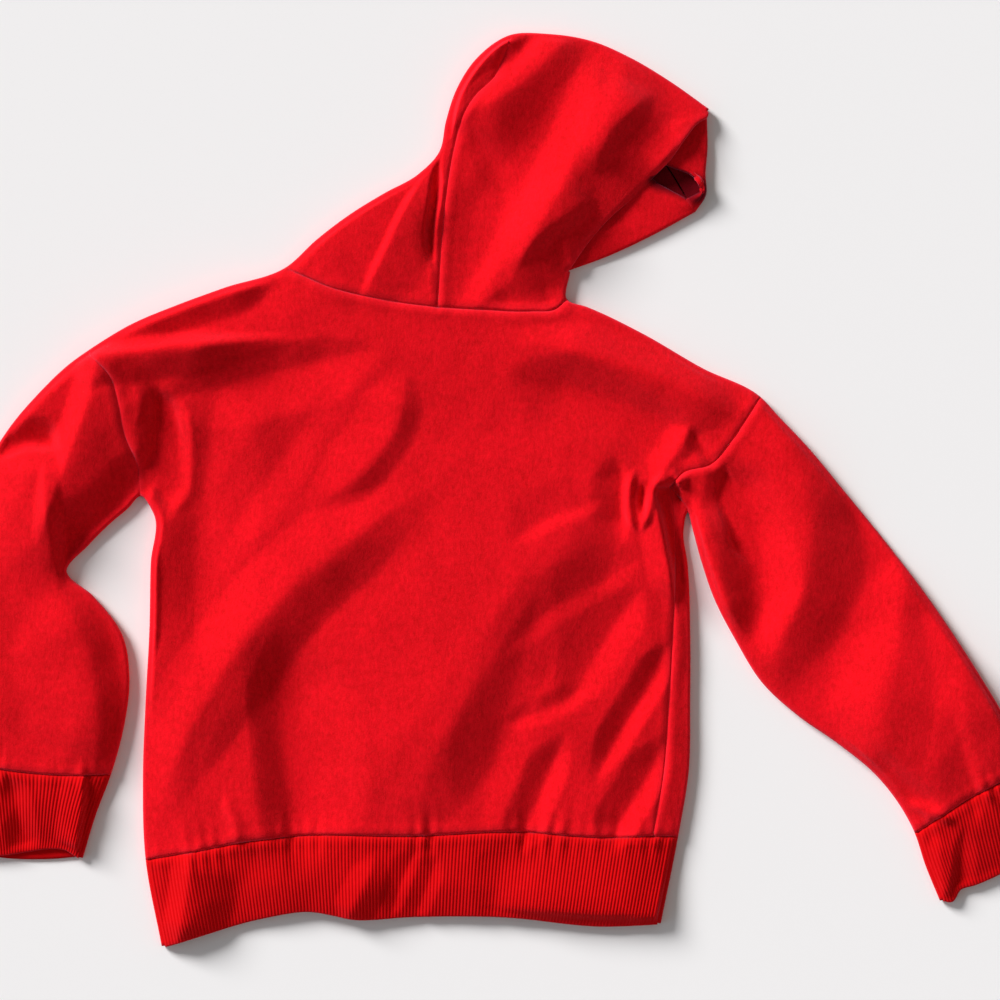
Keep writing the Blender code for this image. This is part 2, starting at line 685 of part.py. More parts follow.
def tube(name, over, under, first, second, colour, face=None, steps=1):
    """A flattened tube: its upper layer, round its second edge, its lower layer, round its first.

    Where the upper layer is ribbed, face has its outer points, with several steps for each column.
    """
    grid = np.concatenate([over, rolled(second), under[:, ::-1], rolled(first)[:, ::-1]], axis=1)
    face = over[:, :, 0] if face is None else face
    outer = np.concatenate([face, grid[:, over.shape[1] :, 0]], axis=1)
    extra = face.shape[1] - over.shape[1]
    behind = [k * steps if k < over.shape[1] else k + extra for k in range(grid.shape[1])]
    return wall(name, outer, grid[:, :, 1], colour, behind=behind, closed=True)


def ribbed(name, over_lines, under_lines, first, second, ribs):
    """A flattened tube of ribbing, with a number of ribs in each column of its upper layer."""
    steps = 2 * ribs
    over_ends = [finer(line, steps) for line in over_lines]
    both = upper(filled(*over_ends, first.inset, second.inset))
    face = both[:, :, 0].copy()
    face[:, 1::2, 2] += RIB_HEIGHT
    under = lower(filled(*under_lines, first.inset, second.inset))
    return tube(name, both[:, ::steps], under, first, second, RIBBING, face, steps)


def waistband():
    left, right = LINES.left_band, LINES.right_band
    over_top = joined(LINES.hem, LINES.strip_start)
    turned = np.stack([left.inset[-1], LINES.under_hem[0]])
    under_top = joined(turned, LINES.under_hem)
    over_lines = evenly(LINES.band_edge, len(over_top) - 1), over_top
    under_lines = evenly(LINES.band_edge, len(under_top) - 1), under_top
    return ribbed("waistband", over_lines, under_lines, left, right, BAND_RIBS)


def arm(side, over_armhole, under_armhole, edges, cuff_edges, bow, ends, ribs):
    """A sleeve and its cuff. Lines across them run from the outer edge of the arm to the inner."""
    cells = len(over_armhole) - 1, len(under_armhole) - 1
    corners = edges[0].inset[-1], edges[1].inset[-1]
    over_seam, under_seam = (bowed(*corners, bow, count) for count in cells)
    insets = edges[0].inset, edges[1].inset
    over = upper(filled(over_armhole, over_seam, *insets))
    under = lower(filled(under_armhole, under_seam, *insets))
    tube("sleeve_" + side, over, under, *edges, FLEECE)
    corners = cuff_edges[0].inset[-1:], cuff_edges[1].inset[-1:]
    over_end, under_end = (
        evenly(np.concatenate([corners[0], xy(middle), corners[1]]), count)
        for middle, count in zip(ends, cells)
    )
    lines = (over_seam, over_end), (under_seam, under_end)
    ribbed("cuff_" + side, *lines, *cuff_edges, ribs)


def arms():
    pit = np.stack([LINES.under_side_seam[-1], LINES.left_side.inset[-1]])
    arm(
        "left",
        LINES.left_armhole[::-1],
        joined(LINES.left_under_armhole[::-1], pit),
        (LINES.left_arm_outer, LINES.left_arm_inner),
        (LINES.left_cuff_outer, LINES.left_cuff_inner),
        LEFT_CUFF_BOW,
        (LEFT_CUFF_END, LEFT_CUFF_UNDER_END),
        LEFT_CUFF_RIBS,
    )
    arm(
        "right",
        joined(LINES.right_armhole[::-1], LINES.strip_end),
        LINES.right_under_armhole[::-1],
        (LINES.right_arm_outer, LINES.right_arm_inner),
        (LINES.right_cuff_outer, LINES.right_cuff_inner),
        RIGHT_CUFF_BOW,
        (RIGHT_CUFF_END, RIGHT_CUFF_END),
        RIGHT_CUFF_RIBS,
    )


def hood_left():
    """The hood's left half: the strip beside the centre seam, and nearly all of the lower layer."""
    side, fold = LINES.hood_side, LINES.neck_fold
    top = straight(LINES.hood_seam[-1], side.inset[-1], BACK_NECK_LEFT_CELLS)
    over = upper(filled(LINES.back_neck_left[::-1], top, LINES.hood_seam, side.inset))
    neck_end = np.array([LINES.front_neck_left[-1], FRONT_HEM_END])
    front_hem = straight(FRONT_HEM_END, fold.inset[-1], FRONT_HEM_CELLS)
    cells_left = len(over) - 1 - FRONT_HEM_CELLS - 1
    hem = np.concatenate([fold.inset[-1:], xy(HOOD_LOWER_HEM)])
    hem = joined(neck_end, front_hem, evenly(hem, cells_left))
    crown = joined(np.stack([side.inset[-1], LINES.hood_under_seam[0]]), LINES.hood_under_seam)
    under = lower(filled(LINES.front_neck_left, crown, side.inset, hem))
    grid = np.concatenate([over, rolled(side), under], axis=1)
    return single("hood_left", grid, None)


def hood_right():
    """The hood's right half: the upper layer, turned under at the crown and beside the neck."""
    crown, fold = LINES.crown, LINES.neck_fold
    left = np.concatenate([LINES.hood_seam, crown.inset[:1]])
    right = np.concatenate([joined(fold.inset, LINES.hood_hem), crown.inset[-1:]])
    over = upper(filled(LINES.back_neck_right, crown.inset, left, right))

    fold_rows = len(fold.line)
    front_hem = straight(fold.inset[-1], FRONT_HEM_END, FRONT_NECK_RIGHT_CELLS)
    front_end = straight(LINES.front_neck_right[0], FRONT_HEM_END, fold_rows - 1)
    front = lower(filled(LINES.front_neck_right[::-1], front_hem, fold.inset, front_end))
    turned = blank(len(over), len(ROLL_TURNS) + front.shape[1])
    turned[:fold_rows] = np.concatenate([rolled(fold), front], axis=1)
    grid = np.concatenate([over, turned], axis=1)

    seam_start = straight(crown.inset[0], LINES.hood_under_seam[0], len(xy(HOOD_SIDE_HEM)))
    hem_side = np.concatenate([crown.inset[-1:], xy(HOOD_SIDE_HEM)])
    under = lower(filled(crown.inset, LINES.hood_under_seam, seam_start, hem_side))
    down = blank(len(ROLL_TURNS) + len(under), grid.shape[1])
    down[:, : over.shape[1]] = np.concatenate([rolled(crown).swapaxes(0, 1), under])
    present = np.ones((len(grid) + len(down) - 1, grid.shape[1] - 1), bool)
    present[fold_rows - 1 :, over.shape[1] - 1 :] = False
    return single("hood_right", np.concatenate([grid, down]), present)


def main():
    for there in list(bpy.data.objects):
        bpy.data.objects.remove(there, do_unlink=True)
    back_panel()
    front_panel()
    waistband()
    arms()
    hood_left()
    hood_right()


main()
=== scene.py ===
import math

import bmesh
import bpy
import numpy as np
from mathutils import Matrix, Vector


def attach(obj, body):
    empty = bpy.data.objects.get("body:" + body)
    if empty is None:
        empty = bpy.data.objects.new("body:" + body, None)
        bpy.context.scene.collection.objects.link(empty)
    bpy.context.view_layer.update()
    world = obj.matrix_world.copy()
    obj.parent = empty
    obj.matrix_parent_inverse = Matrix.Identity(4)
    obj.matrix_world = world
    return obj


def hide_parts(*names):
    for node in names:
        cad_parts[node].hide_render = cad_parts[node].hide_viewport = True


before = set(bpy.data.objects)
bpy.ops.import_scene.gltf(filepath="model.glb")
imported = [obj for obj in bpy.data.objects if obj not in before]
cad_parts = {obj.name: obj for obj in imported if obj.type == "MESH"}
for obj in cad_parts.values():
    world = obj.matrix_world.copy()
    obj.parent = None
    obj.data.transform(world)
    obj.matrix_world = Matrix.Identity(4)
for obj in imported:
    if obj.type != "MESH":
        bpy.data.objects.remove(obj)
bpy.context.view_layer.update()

mm = 0.001


def table(columns, *rows):
    return dict(zip(columns.split(), np.array(rows, float).T))


def points(rows, name):
    return np.stack([rows[name + "X"], rows[name + "Y"]], axis=1)


def xy(rows):
    return np.stack([rows["x"], rows["y"]], axis=1)


# the cloth and how it lies, in millimetres
cloth = {
    "thickness": 2.0,
    "edgeHeight": 5.4,  # where it is rolled over at the outline
    "rimHeight": 7.6,  # upper layer, at the outline
    "puff": 13.0,  # and away from it
    "puffReach": 34.0,
    "foldReach": 3.0,
    "hemLift": 13.0,  # a free hem is as high as cloth that far from an edge
    "least": 4.5,  # lowest that the upper face comes
    "rollSteps": 10,  # faces round a rolled edge
    "lineStep": 1.6,  # points of a smooth line lie about this far apart
}
roll = cloth["edgeHeight"] / 2

# body from the waistband's edge to the armpits: outlines, visible side seam, hidden side seam
body = table(
    "leftX leftY rightX rightY sideX sideY underIn",
    (-246, -342, 128, -325, 111, -325, 16),
    (-258, -277, 141, -260, 122, -259, 16),
    (-260, -215, 149, -210, 130, -212, 16),
    (-258, -160, 150, -160, 134, -160, 16),
    (-255, -105, 150, -105, 137, -107, 16),
    (-254, -55, 148, -55, 139, -55, 13),
    (-252, -18, 145, -31, 138, -22, 8),
    (-262, -5, 148, -17, 135, 2, 5),
)
sleeveLeft = table(
    "outerX outerY innerX innerY",
    (-301, 104, -262, -5),
    (-315, 94, -271, -14),
    (-338, 72, -284, -25),
    (-367, 36, -301, -42),
    (-388, -8, -317, -61),
    (-406, -52, -297, -80),
    (-417, -98, -275, -110),
    (-418, -140, -270, -143),
    (-411, -173, -274, -177),
    (-399, -204, -284, -214),
)
cuffLeft = table(
    "outerX outerY innerX innerY",
    (-399, -204, -284, -214),
    (-390, -238, -295, -243),
    (-384, -274, -305, -276),
)
sleeveRight = table(
    "outerX outerY innerX innerY",
    (203, 69, 148, -17),
    (216, 55, 152, -31),
    (236, 34, 158, -53),
    (266, -2, 168, -82),
    (297, -40, 184, -113),
    (326, -78, 204, -145),
    (352, -116, 230, -169),
    (374, -151, 260, -190),
    (392, -181, 290, -215),
    (408, -206, 318, -257),
)
cuffRight = table(
    "outerX outerY innerX innerY",
    (408, -206, 318, -257),
    (414, -237, 326, -281),
    (419, -267, 337, -308),
)
hood = table(
    "outlineX outlineY seamX seamY edgeX edgeY",
    (-152, 167, -39, 136, 58, 142),
    (-130, 187, -38, 152, 60, 163),
    (-105, 206, -37, 172, 63, 182),
    (-79, 222, -35, 197, 86, 197),
    (-54, 236, -32, 225, 108, 213),
    (-38, 253, -27, 254, 127, 229),
    (-33, 276, -20, 279, 142, 245),
    (-25, 300, -11, 294, 152, 260),
    (-10, 323, 3, 308, 158, 271),
    (14, 340, 13, 330, 162, 279),
)
crown = table("x y", (14, 340), (46, 341), (76, 336), (106, 323), (136, 305), (164, 285))
leftShoulder = table("x y", (-152, 167), (-199, 151), (-232, 139), (-272, 122), (-301, 104))
rightShoulder = table("x y", (58, 142), (72, 137), (114, 117), (159, 91), (203, 69))

# seams on top; ends that lie on the outline come from the tables above
backNeckLeft = table("x y", (-138, 159), (-122, 152), (-92, 144), (-64, 139), (-39, 136))
backNeckRight = table("x y", (-39, 136), (-5, 134), (32, 133), (50, 135))
leftArmhole = table("x y", (-264, 18), (-273, 42), (-277, 64), (-283, 84))
rightArmhole = table("x y", (144, 12), (166, 19), (180, 35), (191, 51))
hemSeam = table("x y", (-218, -270), (-180, -263), (-140, -259), (-60, -259), (20, -256), (85, -260))
bandEdge = table(
    "x y", (-210, -331), (-170, -320), (-138, -315), (-98, -321), (-60, -319), (10, -319), (85, -326)
)
leftCuffEnd = table("x y", (-366, -273), (-345, -270), (-330, -268), (-318, -269))
leftCuffUnderEnd = table("x y", (-366, -276), (-330, -277))
rightCuffEnd = table("x y", (384, -286), (364, -295), (352, -299), (345, -308))

# the lower layer's seams and hems
frontNeckLeft = table("x y", (-120, 127), (-78, 102), (-30, 93))
frontNeckRight = table("x y", (-30, 93), (14, 104), (44, 125))
leftUnderArmhole = table("x y", (-268, 30), (-280, 68))
rightUnderArmhole = table("x y", (158, 10), (177, 39))
hoodUnderSeam = table("x y", (16, 330), (60, 312), (100, 280), (132, 244), (154, 208))
# painted shade: the cloth round this line, inside the hood's opening, is painted dark
openingMiddle = table("x y", (128, 234), (142, 230), (154, 224))  # of the dark inside of the hood
hoodLowerHem = table("x y", (89, 175), (121, 190), (154, 208))
hoodSideHem = table("x y", (163, 255), (161.5, 236), (162, 221), (154, 208))
# the hood's upper hem, and where the folded hems of its lower layer end inside the opening
upperHem = table("x y", (77, 191), (91, 206), (106, 219), (122, 235), (133, 246), (146, 264), (155, 275))
lowerFacing = table(
    "x y", (58, 172), (77, 199), (100, 222), (117, 236), (124, 229), (131, 225), (142, 219), (147, 216)
)
sideFacing = table(
    "x y", (157, 281), (142, 270), (128, 254), (126, 247), (134, 243), (148, 238), (158, 231),
    (159, 222), (147, 216)
)
frontHemEnd = np.array([-31.0, 97.0])
cuffBows = {"left": 4.0, "right": 3.0}


def lengths(line):
    return np.concatenate([[0], np.cumsum(np.linalg.norm(np.diff(line, axis=0), axis=1))])


def smooth(*parts):
    # one smooth line through the points of parts that follow each other, and where each part ends
    through = np.concatenate([parts[0][:1]] + [part[1:] for part in parts])
    reach = lengths(through)
    if len(through) > 2:
        slope = np.gradient(through, reach, axis=0)
    else:
        slope = np.repeat((through[1:] - through[:1]) / reach[1], 2, axis=0)
    line = [through[:1]]
    counts = [0]
    for k, span in enumerate(np.diff(reach)):
        count = max(2, round(span / cloth["lineStep"]))
        t = np.arange(1, count + 1)[:, None] / count
        ends = (2 * t**3 - 3 * t**2 + 1) * through[k] + (3 * t**2 - 2 * t**3) * through[k + 1]
        bend = (t**3 - 2 * t**2 + t) * slope[k] + (t**3 - t**2) * slope[k + 1]
        line.append(ends + span * bend)
        counts.append(counts[-1] + count)
    marks = np.cumsum([0] + [len(part) - 1 for part in parts])
    return np.concatenate(line), [counts[a : b + 1] for a, b in zip(marks, marks[1:])]


def evenly(line, cells, *others):
    # points the same distance apart on a line, and what other lists say there
    reach = lengths(line)
    wanted = np.linspace(0, reach[-1], cells + 1)
    at = []
    for each in (line, *others):
        at.append(np.stack([np.interp(wanted, reach, each[:, k]) for k in (0, 1)], axis=1))
    return at if others else at[0]


def joined(*lines):
    return np.concatenate([lines[0]] + [line[1:] for line in lines[1:]])


def straight(start, end, cells):
    return np.linspace(start, end, cells + 1)


def bowed(start, end, bow, cells):
    t = np.linspace(0, 1, cells + 1)[:, None]
    ahead = (end - start) / np.linalg.norm(end - start)
    return start + t * (end - start) + 4 * t * (1 - t) * bow * np.array([ahead[1], -ahead[0]])


class Edge:
    # a stretch of outline, where the cloth is rolled over
    def __init__(self, line, inward, marks=None):
        self.line, self.inward = line, inward
        self.inset = line + roll * inward
        self.marks = marks or [0, len(line) - 1]  # where its sections end

    def reversed(self):
        last = len(self.line) - 1
        return Edge(self.line[::-1], self.inward[::-1], [last - mark for mark in self.marks[::-1]])

    def cut(self, cells):
        line, inward = evenly(self.line, cells, self.inward)
        return Edge(line, inward / np.linalg.norm(inward, axis=1, keepdims=True))

    def sections(self):
        spans = [slice(a, b + 1) for a, b in zip(self.marks, self.marks[1:])]
        return [Edge(self.line[span], self.inward[span]) for span in spans]

    def cutSections(self, counts):
        parts = [part.cut(count) for part, count in zip(self.sections(), counts)]
        return Edge(joined(*(part.line for part in parts)), joined(*(part.inward for part in parts)))


def inwards(line, clothSide):
    # unit steps from a line towards the cloth, which lies to its left, or to its right if the side is -1
    ahead = np.gradient(line, axis=0)
    ahead /= np.linalg.norm(ahead, axis=1, keepdims=True)
    return clothSide * np.stack([-ahead[:, 1], ahead[:, 0]], axis=1)


def outline(clothSide, *parts):
    line, marks = smooth(*parts)
    inward = inwards(line, clothSide)
    parts = [slice(part[0], part[-1] + 1) for part in marks]
    return line, [Edge(line[k], inward[k], [at - k.start for at in part]) for k, part in zip(parts, marks)]


print("hoodie: outlines and seams")
leftOver, parts = outline(
    1,
    xy(crown)[::-1],
    points(hood, "outline")[::-1],
    xy(leftShoulder),
    points(sleeveLeft, "outer"),
    points(cuffLeft, "outer"),
)
crownEdge, hoodSide, shoulderL, armOuterL, cuffOuterL = parts
crownEdge, hoodSide = crownEdge.reversed(), hoodSide.reversed()
rightOver, parts = outline(
    -1,
    points(hood, "edge")[1::-1],
    xy(rightShoulder),
    points(sleeveRight, "outer"),
    points(cuffRight, "outer"),
)
neckFold, shoulderR, armOuterR, cuffOuterR = parts
neckFold = neckFold.reversed()
leftInside, parts = outline(
    -1,
    points(body, "left")[:2],
    points(body, "left")[1:],
    points(sleeveLeft, "inner"),
    points(cuffLeft, "inner"),
)
bandL, sideL, armInnerL, cuffInnerL = parts
rightInside, parts = outline(
    1,
    points(body, "right")[:2],
    points(body, "right")[1:],
    points(sleeveRight, "inner"),
    points(cuffRight, "inner"),
)
bandR, sideR, armInnerR, cuffInnerR = parts


def through(*places):
    return smooth(np.concatenate(places))[0]


sideSeam = through(points(body, "side")[1:])
bodyRows = np.linspace(1, len(body["underIn"]) - 1, len(sideL.line))
underIn = np.interp(bodyRows, np.arange(len(body["underIn"])), body["underIn"])
underSideSeam = sideL.line + underIn[:, None] * sideL.inward
armholeL = through(sideL.inset[-1:], xy(leftArmhole), shoulderL.inset[-1:])
armholeR = through(sideSeam[-1:], xy(rightArmhole), shoulderR.inset[-1:])
underArmholeL = through(underSideSeam[-1:], xy(leftUnderArmhole), shoulderL.inset[-1:])
underArmholeR = through(sideR.inset[-1:], xy(rightUnderArmhole), shoulderR.inset[-1:])
neckL = through(shoulderL.inset[:1], xy(backNeckLeft))
neckR = through(xy(backNeckRight), shoulderR.inset[:1])
underNeckL = through(shoulderL.inset[:1], xy(frontNeckLeft))
underNeckR = through(xy(frontNeckRight), shoulderR.inset[:1])
hem = through(sideL.inset[:1], xy(hemSeam), sideSeam[:1])
underHem = through(underSideSeam[:1], xy(hemSeam), sideR.inset[:1])
hoodSeam = through(points(hood, "seam"))
lowerHemLine = through(neckFold.inset[-1:], xy(hoodLowerHem))
sideHemLine = through(crownEdge.inset[-1:], xy(hoodSideHem))
lowerHem = Edge(lowerHemLine, inwards(lowerHemLine, 1))
sideHem = Edge(sideHemLine, inwards(sideHemLine, -1))
underHoodSeam = through(xy(hoodUnderSeam)[:-1], lowerHem.inset[-1:])
hoodHem = through(neckFold.inset[-1:], xy(upperHem), points(hood, "edge")[-1:])
bandHem = through(bandL.inset[:1], xy(bandEdge), bandR.inset[:1])

# Creases of the upper layer: from the first point past the middle ones to the last. Each rises or sinks
# by its height, most of all at its peak, a share of its length. From there its sides slope evenly, as far
# as it reaches to its left and to its right, seen along it.
creases = table(
    "x0 y0 x1 y1 x2 y2 x3 y3 height left right peak",
    # back
    (-255, -255, -208, -150, -150, -77, -38, 9, 9, 38, 36, 0.5),
    (-71, -285, -34, -180, 22, -90, 98, 37, 9, 150, 46, 0.5),
    (-188, -113, -181, -165, -175, -214, -168, -285, 5, 34, 44, 0.6),
    (-154, -98, -152, -169, -148, -214, -140, -293, -9, 60, 30, 0.5),
    (-62, 93, -70, 48, -87, 21, -139, -19, 5, 17, 34, 0.4),
    (41, -53, 26, -120, 9, -173, -12, -270, -3, 26, 34, 0.55),
    (-218, -270, -168, -170, -123, -102, -30, -23, -2.5, 30, 100, 0.5),
    (114, -72, 88, -110, 70, -140, 52, -170, -5, 20, 26, 0.4),
    (135, -110, 115, -153, 98, -180, 75, -225, -6, 13, 17, 0.4),
    (58, -179, 43, -214, 33, -239, 22, -274, -6, 15, 20, 0.6),
    (134, -180, 114, -222, 100, -244, 88, -274, -7, 15, 22, 0.6),
    (75, -147, 54, -159, 33, -168, 6, -177, -2.5, 10, 12, 0.4),
    (120, -47, 76, -72, 41, -92, 4, -128, -2.5, 14, 30, 0.5),
    (8, 115, 75, 100, 124, 84, 195, 49, 8, 26, 28, 0.6),
    (8, 88, 75, 63, 114, 42, 154, 10, -9, 34, 34, 0.55),
    (-253, 37, -254, -38, -256, -98, -257, -188, 7, 36, 3, 0.5),
    (-204, 90, -212, 15, -217, -53, -214, -150, -7, 44, 38, 0.5),
    (-128, 63, -152, 30, -171, 4, -199, -45, -3, 26, 28, 0.5),
    (92, 30, 99, 7, 99, -19, 100, -42, -4, 6, 26, 0.5),
    (86, -8, 62, -14, 44, -21, 11, -42, -3, 10, 26, 0.4),
    (-199, -224, -194, -239, -189, -252, -190, -269, 2.5, 8, 8, 0.6),
    # left shoulder
    (-290, 111, -248, 135, -206, 149, -150, 164, 12, 4, 24, 0.45),
    (-326, 94, -270, 102, -225, 107, -150, 114, 11, 12, 24, 0.25),
    (-232, 102, -202, 108, -171, 111, -139, 112, 2, 8, 14, 0.4),
    (-255, 66, -206, 75, -150, 90, -75, 106, -6, 20, 34, 0.5),
    # left armpit
    (-236, 34, -264, -9, -290, -33, -326, -71, -6, 3, 34, 0.45),
    (-255, 82, -240, 52, -238, 26, -243, -26, -13, 16, 26, 0.5),
    (-254, -12, -255, -53, -255, -98, -256, -150, 6, 9, 3, 0.4),
    (-267, 82, -258, 60, -256, 39, -262, 9, 2.5, 7, 16, 0.4),
    (-238, 73, -232, 48, -232, 18, -248, -23, 3, 24, 6, 0.5),
    # right armpit
    (152, 49, 142, 33, 134, 21, 124, 4, 5, 11, 16, 0.5),
    (147, 48, 160, 28, 165, 21, 174, 15, -4, 9, 8, 0.5),
    (110, 18, 103, -2, 104, -19, 112, -36, 4, 5, 6, 0.5),
    (129, 16, 122, 0, 118, -17, 111, -35, 4, 5, 4.5, 0.5),
    (115, 6, 114, -6, 114, -14, 115, -24, -4, 4, 4, 0.5),
    (136, 12, 141, -12, 146, -38, 148, -83, -13, 4, 17, 0.25),
    (118, 9, 128, 3, 136, 3, 150, 10, 6, 12, 3.5, 0.5),
    (120, 3, 128, -30, 133, -57, 141, -98, 8, 5, 18, 0.4),
    # left sleeve
    (-380, 21, -349, 55, -322, 79, -298, 97, 6, 5, 30, 0.5),
    (-288, 117, -300, 60, -314, 22, -340, -50, 11, 52, 18, 0.4),
    (-386, 21, -358, 32, -339, 36, -318, 30, -10, 20, 9, 0.6),
    (-332, 40, -332, 0, -328, -38, -320, -83, 8, 13, 46, 0.4),
    (-330, -62, -304, -113, -294, -158, -297, -225, 6, 20, 60, 0.5),
    # right sleeve
    (168, 28, 184, -8, 195, -38, 204, -128, -11, 34, 28, 0.4),
    (150, 0, 159, -42, 171, -75, 189, -117, 10, 40, 3, 0.5),
    (174, 21, 184, -12, 189, -32, 196, -57, -14, 5, 14, 0.6),
    (184, 97, 232, 15, 237, -57, 202, -150, 7, 46, 40, 0.5),
    (274, 37, 282, -30, 276, -79, 218, -176, -5, 44, 44, 0.5),
    (311, -53, 324, -105, 330, -150, 322, -214, -5, 26, 60, 0.5),
    (248, -150, 308, -162, 371, -162, 428, -155, 14, 170, 100, 0.5),
    (342, -158, 352, -195, 358, -218, 363, -255, -3, 10, 22, 0.6),
    (282, -188, 304, -216, 318, -228, 338, -242, -3, 12, 16, 0.6),
    (310, -233, 321, -237, 334, -242, 350, -249, 4, 6, 6, 0.5),
    # hood
    (45, 355, 8, 332, -18, 300, -30, 258, 7, 16, 4, 0.5),
    (68, 349, 40, 317, 17, 297, -30, 270, 8, 60, 24, 0.45),
    (41, 348, 10, 318, -4, 304, -28, 279, -4, 14, 22, 0.4),
    (84, 360, 46, 273, 16, 213, -32, 127, -10, 28, 60, 0.65),
    (112, 345, 82, 266, 38, 208, -15, 135, 9, 50, 44, 0.5),
    (124, 298, 102, 280, 88, 264, 76, 231, 6, 15, 30, 0.45),
    (132, 243, 114, 222, 96, 204, 66, 171, -5, 2, 44, 0.5),
    (158, 273, 147, 261, 136, 247, 122, 229, 3, 4, 24, 0.5),
    (82, 220, 62, 208, 42, 195, 14, 163, 6, 14, 34, 0.4),
    (46, 180, 56, 186, 61, 174, 59, 153, 2, 4, 8, 0.5),
    (-8, 139, 22, 138, 41, 138, 62, 144, -4, 34, 3, 0.5),
    (-37, 255, -40, 219, -44, 189, -42, 160, -8, 4, 7, 0.5),
    (-46, 240, -67, 201, -81, 171, -99, 136, 5, 34, 6, 0.5),
    (-62, 238, -104, 210, -132, 183, -152, 160, 4, 38, 6, 0.5),
    (-32, 276, -39, 232, -43, 195, -44, 141, 1.2, 4, 4, 0.5),
    (-15, 273, -2, 247, 5, 232, 15, 207, -2, 12, 12, 0.5),
    (170, 288, 133, 249, 92, 208, 57, 174, 3.5, 3, 20, 0.5),
    # waistband
    (-171, -255, -182, -289, -190, -312, -202, -342, -2, 26, 22, 0.5),
    (-218, -260, -224, -289, -227, -312, -236, -348, 7, 36, 16, 0.5),
    (-84, -270, -92, -293, -100, -308, -110, -326, 4.5, 18, 16, 0.6),
    (-54, -267, -63, -285, -70, -304, -76, -323, -2.5, 8, 14, 0.5),
    (-38, -270, -46, -293, -52, -308, -57, -327, -2.5, 10, 16, 0.5),
    (11, -260, 8, -285, 4, -304, 0, -324, -2, 30, 20, 0.5),
    (-15, -309, 41, -314, 98, -317, 172, -320, 6, 64, 8, 0.6),
    # cuffs
    (-363, -206, -354, -239, -351, -257, -346, -285, -5, 14, 14, 0.5),
    (-304, -201, -305, -233, -308, -252, -312, -285, 5, 5, 18, 0.5),
    (336, -252, 336, -270, 338, -285, 342, -318, 2.5, 14, 10, 0.5),
    (355, -248, 353, -270, 352, -287, 350, -312, -3, 12, 8, 0.6),
)

# how a seam sinks, how the cloth beside it swells, and how it puckers
seams = {
    "dip": 0.9,
    "dipReach": 1.5,
    "swell": 0.5,
    "swellAt": 5.0,
    "swellReach": 3.0,
}
puckers = table(
    "spacing depth reach",
    (13, 0.8, 15),  # waistband's seam
    (11, 0.9, 13),  # left cuff's seam
    (11, 0.9, 13),  # right cuff's seam
    (17, 0.3, 12),  # left armhole
    (15, 0.4, 12),  # right armhole
    (16, 0.12, 10),  # neck seam
    (14, 0.25, 9),  # hood's centre seam
)


def measured(line, plan, together=8192):
    # how far points lie from a line, how far along it, and on which side; many points are taken together
    run = np.diff(line, axis=0)
    size = (run * run).sum(-1)
    out = []
    for start in range(0, len(plan), together):
        away = plan[start : start + together, None, :] - line[:-1]
        t = np.clip((away * run).sum(-1) / size, 0, 1)
        far = np.linalg.norm(away - t[..., None] * run, axis=-1)
        side = run[:, 0] * away[..., 1] - run[:, 1] * away[..., 0]
        nearest = far.argmin(-1)[:, None]
        far, t, side = (np.take_along_axis(k, nearest, -1)[:, 0] for k in (far, t, side))
        out.append([far, (nearest[:, 0] + t) / len(run), np.sign(side)])
    return np.concatenate(out, axis=1)


def coarse(line, step=5):
    return evenly(line, max(1, round(lengths(line)[-1] / step)))


def ramp(t):
    t = np.clip(t, 0, 1)
    return t * t * (3 - 2 * t)


def softly(value, least, width=0.9):
    # value, but with a soft floor
    return least + width * np.logaddexp(0, (value - least) / width)


cuffSeamL = bowed(armOuterL.inset[-1], armInnerL.inset[-1], cuffBows["left"], 60)
cuffSeamR = bowed(armOuterR.inset[-1], armInnerR.inset[-1], cuffBows["right"], 60)


def cuffEnd(edges, middle):
    return through(edges[0].inset[-1:], xy(middle), edges[1].inset[-1:])


cuffEdgeL = cuffEnd((cuffOuterL, cuffInnerL), leftCuffEnd)
cuffEdgeR = cuffEnd((cuffOuterR, cuffInnerR), rightCuffEnd)
bandSeam = joined(hem, straight(sideSeam[0], sideR.inset[0], 8))
rimLines = leftOver, rightOver, leftInside, rightInside, cuffEdgeL, cuffEdgeR


def chunks(lines):
    # short stretches, from which it is quicker to measure
    coarser = [coarse(line, 7) for line in lines]
    return [line[k : k + 9] for line in coarser for k in range(0, len(line) - 1, 8)]


rims = chunks(rimLines)
hemChunks = chunks([hoodHem, bandHem])
sewn = bandSeam, cuffSeamL, cuffSeamR, armholeL, armholeR, joined(neckL, neckR), hoodSeam, sideSeam
seamLines = [coarse(line) for line in sewn]
wornLines = [*rims, *hemChunks, *chunks(seamLines)]
openingLine = [xy(openingMiddle)]
paintedShadeZone = {"reach": 14.0, "fade": 7.0, "top": 9.5}  # how far from that line the inside is painted with shade, and how high
creaseLines = [
    coarse(smooth(np.reshape(ends, (4, 2)))[0], 8)
    for ends in zip(*(creases[way + str(k)] for k in range(4) for way in "xy"))
]


def near(line, plan, reach):
    low, high = line.min(axis=0) - reach, line.max(axis=0) + reach
    return np.where(((plan > low) & (plan < high)).all(axis=1))[0]


def nearest(lines, plan, reach):
    # how far points lie from the nearest of the lines, or reach if that is further away
    far = np.full(len(plan), float(reach))
    for line in lines:
        here = near(line, plan, reach)
        if len(here):
            far[here] = np.minimum(far[here], measured(line, plan[here])[0])
    return far


def slope(across, top=0.12, foot=0.15):
    # an even slope from 1 at a rounded top to 0 at a softened foot
    down = (np.hypot(across, top) - top) / (np.hypot(1, top) - top)
    t = np.clip(1 - down, 0, 1)
    return t * t * (1 + foot) / (t + foot)


# at both ends of a crease: how fast it rises along its length, and the least share of its reach
creaseEnds = {"steep": 1.7, "narrow": 0.35}


